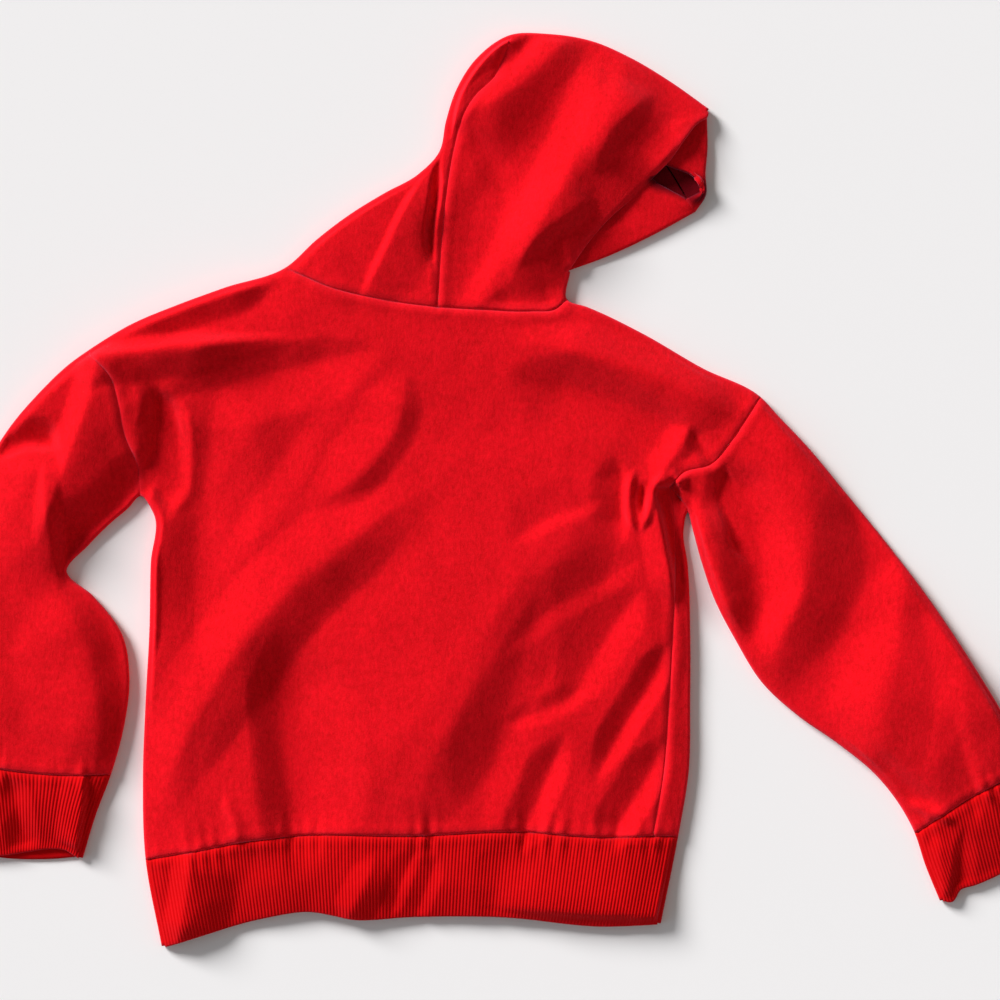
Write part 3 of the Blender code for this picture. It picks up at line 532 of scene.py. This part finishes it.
def creased(plan):
    total = np.zeros(len(plan))
    steep, narrow = creaseEnds["steep"], creaseEnds["narrow"]
    sizes = zip(*(creases[name] for name in ("height", "left", "right", "peak")))
    for line, (high, left, right, peak) in zip(creaseLines, sizes):
        here = near(line, plan, max(left, right))
        if len(here):
            far, along, side = measured(line, plan[here])
            fade = ramp(steep * along / peak) * ramp(steep * (1 - along) / (1 - peak))
            reach = np.where(side > 0, left, right) * (narrow + (1 - narrow) * fade)
            total[here] += high * slope(far / reach) * fade
    return total


def wavy(values, seed):
    # smooth random values along a line, one wave for each whole number
    pick = np.random.default_rng(seed)
    waves = zip(pick.uniform(0.7, 1.3, 5), pick.uniform(0, 2 * math.pi, 5))
    return sum(np.sin(2 * math.pi * (values * rate) + phase) for rate, phase in waves) / 2.2


def rumpled(plan, size, seed):
    # smooth random values over the plan, with waves of about that size
    pick = np.random.default_rng(seed)
    waves = zip(pick.uniform(0, math.pi, 9), pick.uniform(0.6, 1.5, 9), pick.uniform(0, 2 * math.pi, 9))
    total = 0
    for turn, rate, phase in waves:
        ahead = plan[:, 0] * math.cos(turn) + plan[:, 1] * math.sin(turn)
        total = total + np.sin(2 * math.pi * rate * ahead / size + phase)
    return total / 4.5


def seamed(plan):
    total = np.zeros(len(plan))
    for k, line in enumerate(seamLines):
        here = near(line, plan, 45)
        if not len(here):
            continue
        far, along = measured(line, plan[here])[:2]
        total[here] -= seams["dip"] * np.exp(-((far / seams["dipReach"]) ** 2))
        total[here] += seams["swell"] * np.exp(-(((far - seams["swellAt"]) / seams["swellReach"]) ** 2))
        if k < len(puckers["spacing"]):
            run = along * lengths(line)[-1]
            wave = wavy(run / puckers["spacing"][k], 40 + k) * (0.6 + 0.6 * wavy(run / 70, 60 + k))
            fade = np.exp(-((far / puckers["reach"][k]) ** 2)) * ramp(far / 3)
            total[here] += puckers["depth"][k] * wave * fade
    return total


# waves in the cloth, apart from its creases: size, seed and height
rumples = {"wide": (95, 3, 0.9), "narrow": (34, 5, 0.25)}


def upperHeight(plan):
    plan = np.asarray(plan, float).reshape(-1, 2)
    reach = cloth["puffReach"] + roll
    rim = np.minimum(nearest(rims, plan, reach), nearest(hemChunks, plan, reach) + cloth["hemLift"]) - roll
    t = np.clip(rim / cloth["puffReach"], 0, 1)
    base = cloth["rimHeight"] + (cloth["puff"] - cloth["rimHeight"]) * (1 - (1 - t) ** 1.5)
    rest = creased(plan) + sum(rumpled(plan, size, seed) * high for size, seed, high in rumples.values())
    inside = 0.3 + 0.7 * ramp(rim / cloth["foldReach"])
    return softly(base + rest * inside + seamed(plan) * ramp((rim + 1.5) / 4), cloth["least"])


def filled(bottom, top, left, right):
    # a grid of points between four lines
    u = np.linspace(0, 1, len(bottom))[None, :, None]
    v = np.linspace(0, 1, len(left))[:, None, None]
    across = (1 - u) * left[:, None] + u * right[:, None]
    upwards = (1 - v) * bottom[None] + v * top[None]
    corners = (1 - v) * ((1 - u) * bottom[0] + u * bottom[-1]) + v * ((1 - u) * top[0] + u * top[-1])
    return across + upwards - corners


def relaxed(plan, rounds):
    # the same grid with its inner points eased towards the middle of their neighbours
    for _ in range(rounds):
        plan[1:-1, 1:-1] = (plan[:-2, 1:-1] + plan[2:, 1:-1] + plan[1:-1, :-2] + plan[1:-1, 2:]) / 4
    return plan


def raised(plan, high):
    return np.concatenate([plan, np.reshape(high, plan.shape[:-1] + (1,))], axis=-1)


def upper(plan):
    return raised(plan, upperHeight(plan))


underFolds = {"size": 80, "seed": 7, "height": 0.9, "edge": 4, "fade": 16}


def lower(plan):
    # the underside lies flat, but for a few shallow folds away from its edges
    flat = plan.reshape(-1, 2)
    inside = ramp((nearest([*rims, *hemChunks], flat, 20) - underFolds["edge"]) / underFolds["fade"])
    fold = ramp((rumpled(flat, underFolds["size"], underFolds["seed"]) - 0.15) / 0.7) * inside
    return raised(plan, underFolds["height"] * fold)


def rolled(edge):
    # the cloth round an edge, from the upper layer to the lower one
    turns = np.linspace(math.pi / 2, -math.pi / 2, cloth["rollSteps"] + 1)
    rows = [
        raised(edge.line + roll * (1 - math.cos(turn)) * edge.inward, np.full(len(edge.line), high))
        for turn, high in zip(turns, roll + roll * np.sin(turns))
    ]
    return np.stack(rows, axis=1)


def addGrid(bm, places, across, along):
    # a grid with each of its points moved to its place; across and along go into the UV map
    rows, columns = places.shape[:2]
    made = bmesh.ops.create_grid(bm, x_segments=columns - 1, y_segments=rows - 1, size=0.5)
    uvMap = bm.loops.layers.uv.verify()
    at = {}
    for vert in made["verts"]:
        column = round((vert.co.x + 0.5) * (columns - 1))
        row = round((vert.co.y + 0.5) * (rows - 1))
        at[vert] = row, column
        vert.co = places[row, column]
    for face in {face for vert in made["verts"] for face in vert.link_faces}:
        for corner in face.loops:
            row, column = at[corner.vert]
            corner[uvMap].uv = across[column], along[row]


def spread(places):
    # real distances across the middle row and along the middle column of a grid
    rows, columns = places.shape[:2]
    return lengths(places[rows // 2]) * mm, lengths(places[:, columns // 2]) * mm


wearReach = 3.5  # how far cloth is worn beside an edge or a seam


def store(mesh, name, values):
    mesh.attributes.new(name, "FLOAT", "POINT").data.foreach_set("value", values)


def makePiece(name, node, grids, finish):
    bm = bmesh.new()
    for places, across, along in grids:
        addGrid(bm, places, across, along)
    bmesh.ops.remove_doubles(bm, verts=bm.verts, dist=0.02)
    bmesh.ops.recalc_face_normals(bm, faces=bm.faces)
    if max(bm.faces, key=lambda face: face.calc_center_median().z * abs(face.normal.z)).normal.z < 0:
        bmesh.ops.reverse_faces(bm, faces=bm.faces)
    bmesh.ops.scale(bm, vec=(mm, mm, mm), verts=bm.verts)
    mesh = bpy.data.meshes.new(name)
    bm.to_mesh(mesh)
    bm.free()
    mesh.shade_smooth()
    mesh.materials.append(finish)
    plan = np.array([vert.co[:2] for vert in mesh.vertices]) / mm
    high = np.array([vert.co.z for vert in mesh.vertices]) / mm
    # painted shade: cloth near the middle of the hood's opening and lower than its top is marked, as
    # "inner", to be painted dark
    dark = ramp((paintedShadeZone["reach"] - nearest(openingLine, plan, 20)) / paintedShadeZone["fade"])
    store(mesh, "wear", np.exp(-((nearest(wornLines, plan, 12) / wearReach) ** 2)))
    store(mesh, "inner", dark * ramp((paintedShadeZone["top"] - high) / 1.5))
    piece = bpy.data.objects.new(name, mesh)
    bpy.context.scene.collection.objects.link(piece)
    wall = piece.modifiers.new("wall", "SOLIDIFY")
    wall.thickness = cloth["thickness"] * mm
    wall.offset = -1
    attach(piece, "root")
    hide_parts(node)
    print("hoodie:", name, len(mesh.polygons), "faces")


def cells(line, size):
    return max(2, round(lengths(line)[-1] / size))


# how a free edge turns down: how far out and how far down
lipShape = table("out down", (0, 0), (0.7, 0.35), (1.2, 1.2), (1.4, 2.6))


def lip(row, outside):
    # the rounded edge along a row of points, on the side that a place outside lies
    away = inwards(row[:, :2], 1)
    middle = len(row) // 2
    away *= np.sign((away[middle] * (outside - row[middle, :2])).sum())
    steps = zip(lipShape["out"], lipShape["down"])
    return np.stack([np.column_stack([row[:, :2] + out * away, row[:, 2] - down]) for out, down in steps])


grain = 2.2  # how far apart the points of the upper layer lie


def rollGrid(edge, topHeights):
    places = rolled(edge)
    places[..., 2] *= (topHeights / cloth["edgeHeight"])[:, None]
    return places


def withUv(places):
    return places, *spread(places)


def backPanel():
    step = grain
    counts = {
        "side": cells(sideL.line, step),
        "yoke": cells(armholeL, step),
        "shoulder": cells(shoulderL.line, step),
        "shoulderR": cells(shoulderR.line, step),
        "neck": cells(joined(neckL, neckR), step),
    }
    side = sideL.cut(counts["side"])
    tops = shoulderL.cut(counts["shoulder"]), shoulderR.cut(counts["shoulderR"])
    top = joined(tops[0].inset[::-1], evenly(joined(neckL, neckR), counts["neck"]), tops[1].inset)
    left = joined(side.inset, evenly(armholeL, counts["yoke"]))
    right = joined(evenly(sideSeam, counts["side"]), evenly(armholeR, counts["yoke"]))
    panel = upper(filled(evenly(hem, len(top) - 1), top, left, right))
    grids = [withUv(panel)]
    under = evenly(underSideSeam, counts["side"])
    grids.append(withUv(rollGrid(side, panel[: len(side.line), 0, 2])))
    flat = np.stack([side.inset, (side.inset + under) / 2, under], axis=1)
    grids.append(withUv(lower(flat)))
    count = len(tops[0].line)
    grids.append(withUv(rollGrid(tops[0].reversed(), panel[-1, :count, 2])))
    grids.append(withUv(rollGrid(tops[1], panel[-1, -len(tops[1].line) :, 2])))
    makePiece("backPanel", "back_panel", grids, fleece)


def frontPanel():
    side = sideR.cut(cells(sideR.line, grain))
    seamHere = evenly(sideSeam, len(side.line) - 1)
    strip = np.linspace(side.inset, seamHere, 8).swapaxes(0, 1)
    strip = upper(strip)
    grids = [withUv(strip), withUv(rollGrid(side, strip[:, 0, 2]))]
    neck = evenly(joined(underNeckL, underNeckR), 26)
    top = joined(evenly(shoulderL.inset[::-1], 12), neck, evenly(shoulderR.inset, 10))
    rows = len(side.line) - 1
    left = joined(evenly(underSideSeam, rows), evenly(underArmholeL, 12))
    right = joined(side.inset, evenly(underArmholeR, 12))
    under = relaxed(filled(evenly(underHem, len(top) - 1), top, left, right), 60)
    grids.append(withUv(lower(under)))
    makePiece("frontPanel", "front_panel", grids, fleece)


def tubePiece(name, node, over, under, first, second, finish, more=()):
    # upper layer, round its second edge, lower layer, round its first
    grids = [*more] or [withUv(over)]
    grids.append(withUv(rollGrid(second, over[-len(second.line) :, -1, 2])))
    grids.append(withUv(under[:, ::-1]))
    grids.append(withUv(rollGrid(first, over[:, 0, 2])))
    makePiece(name, node, grids, finish)


pitCells = 8


def sleeve(name, node, tops, pits, cuffSeam, outer, inner):
    # tops are the upper and the lower armhole, and pits lead from them to the rolled edge at the armpit
    columns = max(cells(tops[0], grain), cells(cuffSeam, grain))
    pairs = zip(outer.sections(), inner.sections())
    counts = [max(cells(part.line, grain) for part in pair) for pair in pairs]
    inner = inner.cutSections(counts)
    counts[0] += pitCells
    outer = outer.cutSections(counts)
    layers = []
    for top, pit, count in zip(tops, pits, (columns, 20)):
        side = joined(evenly(pit, pitCells), inner.inset)
        layers.append(filled(evenly(top, count), evenly(cuffSeam, count), outer.inset, side))
    tubePiece(name, node, upper(layers[0]), lower(layers[1]), outer, inner, fleece)


ribs = {"height": 0.6, "points": 8, "pitch": 2.55, "rowStep": 3.0, "seamDrop": 0.8, "endDrop": 1.6}


def ribbed(name, node, overLines, underLines, first, second, sheet):
    # overLines are the seam and the free end of the upper layer
    count = round((lengths(overLines[0])[-1] + lengths(overLines[1])[-1]) / 2 / ribs["pitch"])
    columns = count * ribs["points"]
    rows = max(cells(first.line, ribs["rowStep"]), cells(second.line, ribs["rowStep"]))
    first, second = first.cut(rows), second.cut(rows)
    over = upper(filled(*(evenly(line, columns) for line in overLines), first.inset, second.inset))
    phase = np.linspace(0, count, columns + 1)
    ridges = ribs["height"] * (np.abs(np.sin(math.pi * phase)) ** 1.3 - 0.5)
    down = spread(over)[1] / mm
    sunk = ribs["seamDrop"] + (ribs["endDrop"] - ribs["seamDrop"]) * ramp(down / down[-1])
    over[..., 2] += ridges * (ramp(down / 3) * ramp((down[-1] - down + 1) / 2))[:, None] - sunk[:, None]
    under = lower(filled(*(evenly(line, 30) for line in underLines), first.inset, second.inset))
    middle = over[0, columns // 2, :2]
    edge = lip(over[-1], 2 * over[-1, columns // 2, :2] - middle)
    more = (over, phase, down * mm), (edge, phase, down[-1] * mm + spread(edge)[1])
    tubePiece(name, node, over, under, first, second, ribbing, more)


def waistband():
    seamUnder = joined(np.stack([bandL.inset[-1], underHem[0]]), underHem)
    sheet = {"flat": (0.80, 0.074), "held": "laid"}
    left, right = bandL.reversed(), bandR.reversed()
    ribbed("ribbedBand", "waistband", (bandSeam, bandHem), (seamUnder, bandHem), left, right, sheet)


def arms():
    sheet = {"flat": (0.36, 0.36), "area": 0.076, "held": "laid"}
    pit = armholeL[pitCells::-1]
    underPit = np.stack([underSideSeam[-1], sideL.inset[-1]])
    tops, pits = (armholeL[: pitCells - 1 : -1], underArmholeL[::-1]), (pit, underPit)
    sleeve("sleeveLeft", "sleeve_left", tops, pits, cuffSeamL, armOuterL, armInnerL)
    pit = np.stack([sideSeam[-1], sideR.inset[-1]])
    underPit = underArmholeR[pitCells::-1]
    tops, pits = (armholeR[::-1], underArmholeR[: pitCells - 1 : -1]), (pit, underPit)
    sleeve("sleeveRight", "sleeve_right", tops, pits, cuffSeamR, armOuterR, armInnerR)
    underEnd = cuffEnd((cuffOuterL, cuffInnerL), leftCuffUnderEnd)
    sheet = {"flat": (0.20, 0.068), "held": "laid"}
    layers = (cuffSeamL, cuffEdgeL), (cuffSeamL, underEnd)
    ribbed("cuffLeft", "cuff_left", *layers, cuffOuterL, cuffInnerL, sheet)
    layers = (cuffSeamR, cuffEdgeR), (cuffSeamR, cuffEdgeR)
    ribbed("cuffRight", "cuff_right", *layers, cuffOuterR, cuffInnerR, sheet)


def facing(hem, innerEdge, heights):
    # a hem rolled over its edge and back inside the hood, by its height along the edge
    rows = cells(hem.line, grain)
    hem = hem.cut(rows)
    share = np.linspace(0, 1, rows + 1)
    high = np.interp(share, heights["share"], heights["high"])
    inner = evenly(xy(innerEdge), rows)
    plan = np.linspace(hem.inset, inner, 13).swapaxes(0, 1)
    across = np.linspace(0, 1, 13)
    middle = np.interp(share, heights["share"], heights["inside"])
    level = high[:, None] * (1 - across) + middle[:, None] * across + 0.8 * 4 * across * (1 - across)
    flap = raised(plan, level)
    edge = lip(flap[:, -1], 2 * inner[rows // 2] - hem.line[rows // 2])
    return withUv(flap), withUv(rollGrid(hem, high)), withUv(edge)


lowerHeights = table("share high inside", (0, 4, 3.5), (0.3, 4.5, 3.5), (0.7, 5, 5), (1, 5.5, 7.5))
sideHeights = table("share high inside", (0, 4, 4), (0.2, 6, 7), (0.6, 7.5, 8.5), (0.8, 7.5, 9), (1, 5.5, 8))


def hoodLeft():
    side = hoodSide.cut(cells(hoodSide.line, grain))
    rows = len(side.line) - 1
    columns = cells(neckL, grain)
    top = straight(hoodSeam[-1], side.inset[-1], columns)
    over = upper(filled(evenly(neckL[::-1], columns), top, evenly(hoodSeam, rows), side.inset))
    grids = [withUv(over), withUv(rollGrid(side, over[:, -1, 2]))]
    stretch = np.array([underNeckL[-1], frontHemEnd])
    hemLine = joined(stretch, straight(frontHemEnd, lowerHem.inset[0], 10), lowerHem.inset)
    crownLine = joined(np.stack([side.inset[-1], underHoodSeam[0]]), underHoodSeam)
    under = lower(filled(evenly(underNeckL, 60), evenly(crownLine, 60), side.inset, evenly(hemLine, rows)))
    grids.append(withUv(under))
    grids += facing(lowerHem, lowerFacing, lowerHeights)
    makePiece("hoodLeft", "hood_left", grids, fleece)


def hoodRight():
    step = grain
    columns = max(cells(crownEdge.line, step), cells(neckR, step))
    foldRows = cells(neckFold.line, step)
    restRows = cells(hoodHem, step)
    crownCut, fold = crownEdge.cut(columns), neckFold.cut(foldRows)
    left = evenly(joined(hoodSeam, np.stack([hoodSeam[-1], crownCut.inset[0]])), foldRows + restRows)
    hemLine = joined(hoodHem, np.stack([hoodHem[-1], crownCut.inset[-1]]))
    right = joined(fold.inset, evenly(hemLine, restRows))
    over = upper(filled(evenly(neckR, columns), crownCut.inset, left, right))
    grids = [withUv(over), withUv(rollGrid(crownCut, over[-1, :, 2]))]
    grids.append(withUv(rollGrid(fold, over[: foldRows + 1, -1, 2])))
    middle = over[-restRows // 2, :, :2]
    grids.append(withUv(lip(over[foldRows:, -1], 2 * middle[-1] - middle[-5])))
    frontHem = straight(fold.inset[-1], frontHemEnd, 20)
    frontEnd = straight(underNeckR[0], frontHemEnd, foldRows)
    grids.append(withUv(lower(filled(evenly(underNeckR[::-1], 20), frontHem, fold.inset, frontEnd))))
    seamStart = straight(crownCut.inset[0], underHoodSeam[0], 30)
    sideRows = evenly(joined(sideHem.inset, underHoodSeam[-1:]), 30)
    sideRows[0] = crownCut.inset[-1]
    grids.append(withUv(lower(filled(crownCut.inset, evenly(underHoodSeam, columns), seamStart, sideRows))))
    grids += facing(sideHem, sideFacing, sideHeights)
    makePiece("hoodRight", "hood_right", grids, fleece)


class Value:
    # a socket that numbers and other sockets can be reckoned with
    def __init__(self, shader, socket):
        self.shader, self.socket = shader, socket

    def math(self, operation, first, second):
        return self.shader.node("Math", {"operation": operation}, [first, second])

    def __add__(self, other):
        return self.math("ADD", self, other)

    def __sub__(self, other):
        return self.math("SUBTRACT", self, other)

    def __rsub__(self, other):
        return self.math("SUBTRACT", other, self)

    def __mul__(self, other):
        return self.math("MULTIPLY", self, other)

    def __truediv__(self, other):
        return self.math("DIVIDE", self, other)

    def __rtruediv__(self, other):
        return self.math("DIVIDE", other, self)

    def folded(self, size):
        return self.math("PINGPONG", self, size)

    __radd__, __rmul__ = __add__, __mul__


class Finish:
    # a material and a short way of adding nodes to it
    def __init__(self, name):
        self.material = bpy.data.materials.new(name)
        self.material.use_nodes = True
        self.tree = self.material.node_tree
        self.shader = self.tree.nodes["Principled BSDF"]

    def node(self, kind, settings, inputs, output=0):
        made = self.tree.nodes.new("ShaderNode" + kind)
        for name, setting in settings.items():
            setattr(made, name, setting)
        pairs = inputs.items() if isinstance(inputs, dict) else enumerate(inputs)
        for key, value in pairs:
            self.plug(value, made.inputs[key])
        return Value(self, made.outputs[output])

    def plug(self, value, socket):
        if isinstance(value, Value):
            self.tree.links.new(value.socket, socket)
        else:
            socket.default_value = value

    def set(self, **inputs):
        names = {"colour": "Base Color", "roughness": "Roughness", "normal": "Normal"}
        for name, value in inputs.items():
            self.plug(value, self.shader.inputs[names.get(name, name)])

    def place(self):
        return self.node("TexCoord", {}, {}, "Object")

    def noise(self, vector, scale, detail=2.0, roughness=0.5):
        inputs = {"Vector": vector, "Scale": scale, "Detail": detail, "Roughness": roughness}
        return self.node("TexNoise", {}, inputs)

    def mix(self, factor, first, second):
        return self.node("Mix", {"data_type": "RGBA"}, {0: factor, 6: first, 7: second}, 2)

    def stretched(self, vector, scale):
        return self.node("VectorMath", {"operation": "MULTIPLY"}, [vector, scale])

    def stored(self, name):
        return self.node("Attribute", {"attribute_name": name}, {}, "Fac")

    def soft(self, weight):
        # the pale bloom of brushed cloth
        look = {"Sheen Weight": weight, "Sheen Roughness": 0.45, "Sheen Tint": fleeceLook["sheenTint"]}
        self.set(**look, **{"Specular IOR Level": 0.06})

    def bump(self, height, strength, distance):
        return self.node("Bump", {}, {"Height": height, "Strength": strength, "Distance": distance})


fleeceLook = {
    "deep": (0.49, 0.0001, 0.0004, 1),
    "plain": (0.80, 0.0018, 0.0080, 1),
    "worn": (0.88, 0.012, 0.026, 1),
    # painted shade: the dark colour painted on the cloth inside the hood's opening
    "inner": (0.15, 0.0002, 0.004, 1),
    "sheen": 0.2,
    "sheenTint": (1.0, 0.42, 0.68, 1),
    "streaks": (430, 170, 300),  # of the brushed nap, which runs along the body
    "clumps": 260,
    "fuzz": 1500,
    "clouds": 24,
}
ribLook = {
    # painted shade in the grooves between the ribs, and painted light on the rib tops
    "paintedGrooveShade": (0.56, 0.0003, 0.0014, 1),
    "ridge": (0.92, 0.003, 0.012, 1),
    "worn": (0.95, 0.012, 0.034, 1),
    "stitch": 0.0013,  # metres from stitch to stitch along a rib
    "clumps": 240,
    "fuzz": 1300,
    "sheen": 0.15,
}


def makeFleece():
    look = Finish("fleece")
    place = look.place()
    wear = look.stored("wear")
    streaks = look.noise(look.stretched(place, fleeceLook["streaks"]), 1, 3, 0.6)
    clumps = look.noise(place, fleeceLook["clumps"], 2, 0.5)
    fuzz = look.noise(place, fleeceLook["fuzz"], 2, 0.7)
    clouds = look.noise(place, fleeceLook["clouds"], 2, 0.5)
    nap = streaks * 0.45 + clumps * 0.3 + fuzz * 0.25
    shade = (nap - 0.5) * 3.2 + (clouds - 0.5) * 0.7 + 0.62
    colour = look.mix(shade, fleeceLook["deep"], fleeceLook["plain"])
    colour = look.mix((fuzz - 0.4) * 1.2 + wear * 0.3, colour, fleeceLook["worn"])
    # painted shade inside the hood's opening
    colour = look.mix(look.stored("inner"), colour, fleeceLook["inner"])
    look.set(colour=colour, roughness=0.82 + nap * 0.12 + wear * 0.05)
    look.set(normal=look.bump(nap + fuzz * 0.5, 0.5, 0.0011))
    look.soft(fleeceLook["sheen"])
    return look.material


def makeRibbing():
    look = Finish("ribbing")
    uv = look.node("UVMap", {"uv_map": "UVMap"}, {})
    across = look.node("SeparateXYZ", {}, [uv], "X")
    along = look.node("SeparateXYZ", {}, [uv], "Y")
    place = look.place()
    wear = look.stored("wear")
    fuzz = look.noise(place, ribLook["fuzz"], 2, 0.6)
    clumps = look.noise(place, ribLook["clumps"], 2, 0.5)
    ridge = across.folded(0.5) * 2
    stitch = (along / ribLook["stitch"] + ridge * 0.5).folded(0.5) * 2  # each stitch is a small slanted pair
    # painted light and shade: rib tops and stitch tops lighter, the grooves between them darker
    paintedRibShading = ridge * 0.7 + stitch * ridge * 0.3
    colour = look.mix(paintedRibShading + (clumps - 0.5) * 0.5 + (fuzz - 0.5) * 0.4, ribLook["paintedGrooveShade"], ribLook["ridge"])
    colour = look.mix(wear * ridge * fuzz, colour, ribLook["worn"])
    look.set(colour=colour, roughness=0.8 + fuzz * 0.1 + wear * 0.05)
    look.set(normal=look.bump(stitch * ridge + fuzz * 0.6, 0.45, 0.0005))
    look.soft(ribLook["sheen"])
    return look.material


fleece = makeFleece()
ribbing = makeRibbing()
frontPanel()
backPanel()
waistband()
arms()
hoodLeft()
hoodRight()

print("hoodie: floor, lights and camera")
stage = {"size": 6.0, "colour": (0.89, 0.89, 0.89, 1), "gap": 0.0002}


def floor():
    bm = bmesh.new()
    bmesh.ops.create_grid(bm, x_segments=1, y_segments=1, size=stage["size"] / 2)
    bmesh.ops.translate(bm, vec=(0, 0, -stage["gap"]), verts=bm.verts)
    mesh = bpy.data.meshes.new("floor")
    bm.to_mesh(mesh)
    bm.free()
    look = Finish("floorPaint")
    look.set(colour=stage["colour"], roughness=0.9)
    mesh.materials.append(look.material)
    ground = bpy.data.objects.new("floor", mesh)
    bpy.context.scene.collection.objects.link(ground)


def sunLight(name, direction, angle, power, colour):
    light = bpy.data.lights.new(name, "SUN")
    light.angle = math.radians(angle)
    light.energy = power
    light.color = colour
    lamp = bpy.data.objects.new(name, light)
    bpy.context.scene.collection.objects.link(lamp)
    lamp.location = direction
    lamp.rotation_euler = (-Vector(direction)).to_track_quat("-Z", "Y").to_euler()


# where each soft light comes from, how wide it is in degrees, its power and its colour
lights = {
    "key": ((-0.76, 0.65, 0.46), 22, 5.2, (1.0, 0.98, 0.98)),
    "cool": ((-0.90, -0.10, 0.34), 50, 0.5, (0.70, 0.80, 1.0)),
    "warm": ((0.80, -0.30, 0.70), 60, 0.2, (1.0, 0.78, 0.55)),
}
floor()
for name, (direction, angle, power, colour) in lights.items():
    sunLight(name, direction, angle, power, colour)
room = {"colour": (1, 1, 1, 1), "strength": 0.2}
world = bpy.data.worlds.new("room")
world.use_nodes = True
world.node_tree.nodes["Background"].inputs["Color"].default_value = room["colour"]
world.node_tree.nodes["Background"].inputs["Strength"].default_value = room["strength"]
bpy.context.scene.world = world
bpy.context.scene.view_settings.view_transform = "Standard"

view = {"x": 0.0075, "y": -0.0079, "height": 3.0, "across": 0.75}
camera = bpy.data.cameras.new("camera")
camera.sensor_width = 36
camera.lens = camera.sensor_width * view["height"] / view["across"]
camera.clip_end = 20
eye = bpy.data.objects.new("camera", camera)
eye.location = (view["x"], view["y"], view["height"])
bpy.context.scene.collection.objects.link(eye)
bpy.context.scene.camera = eye
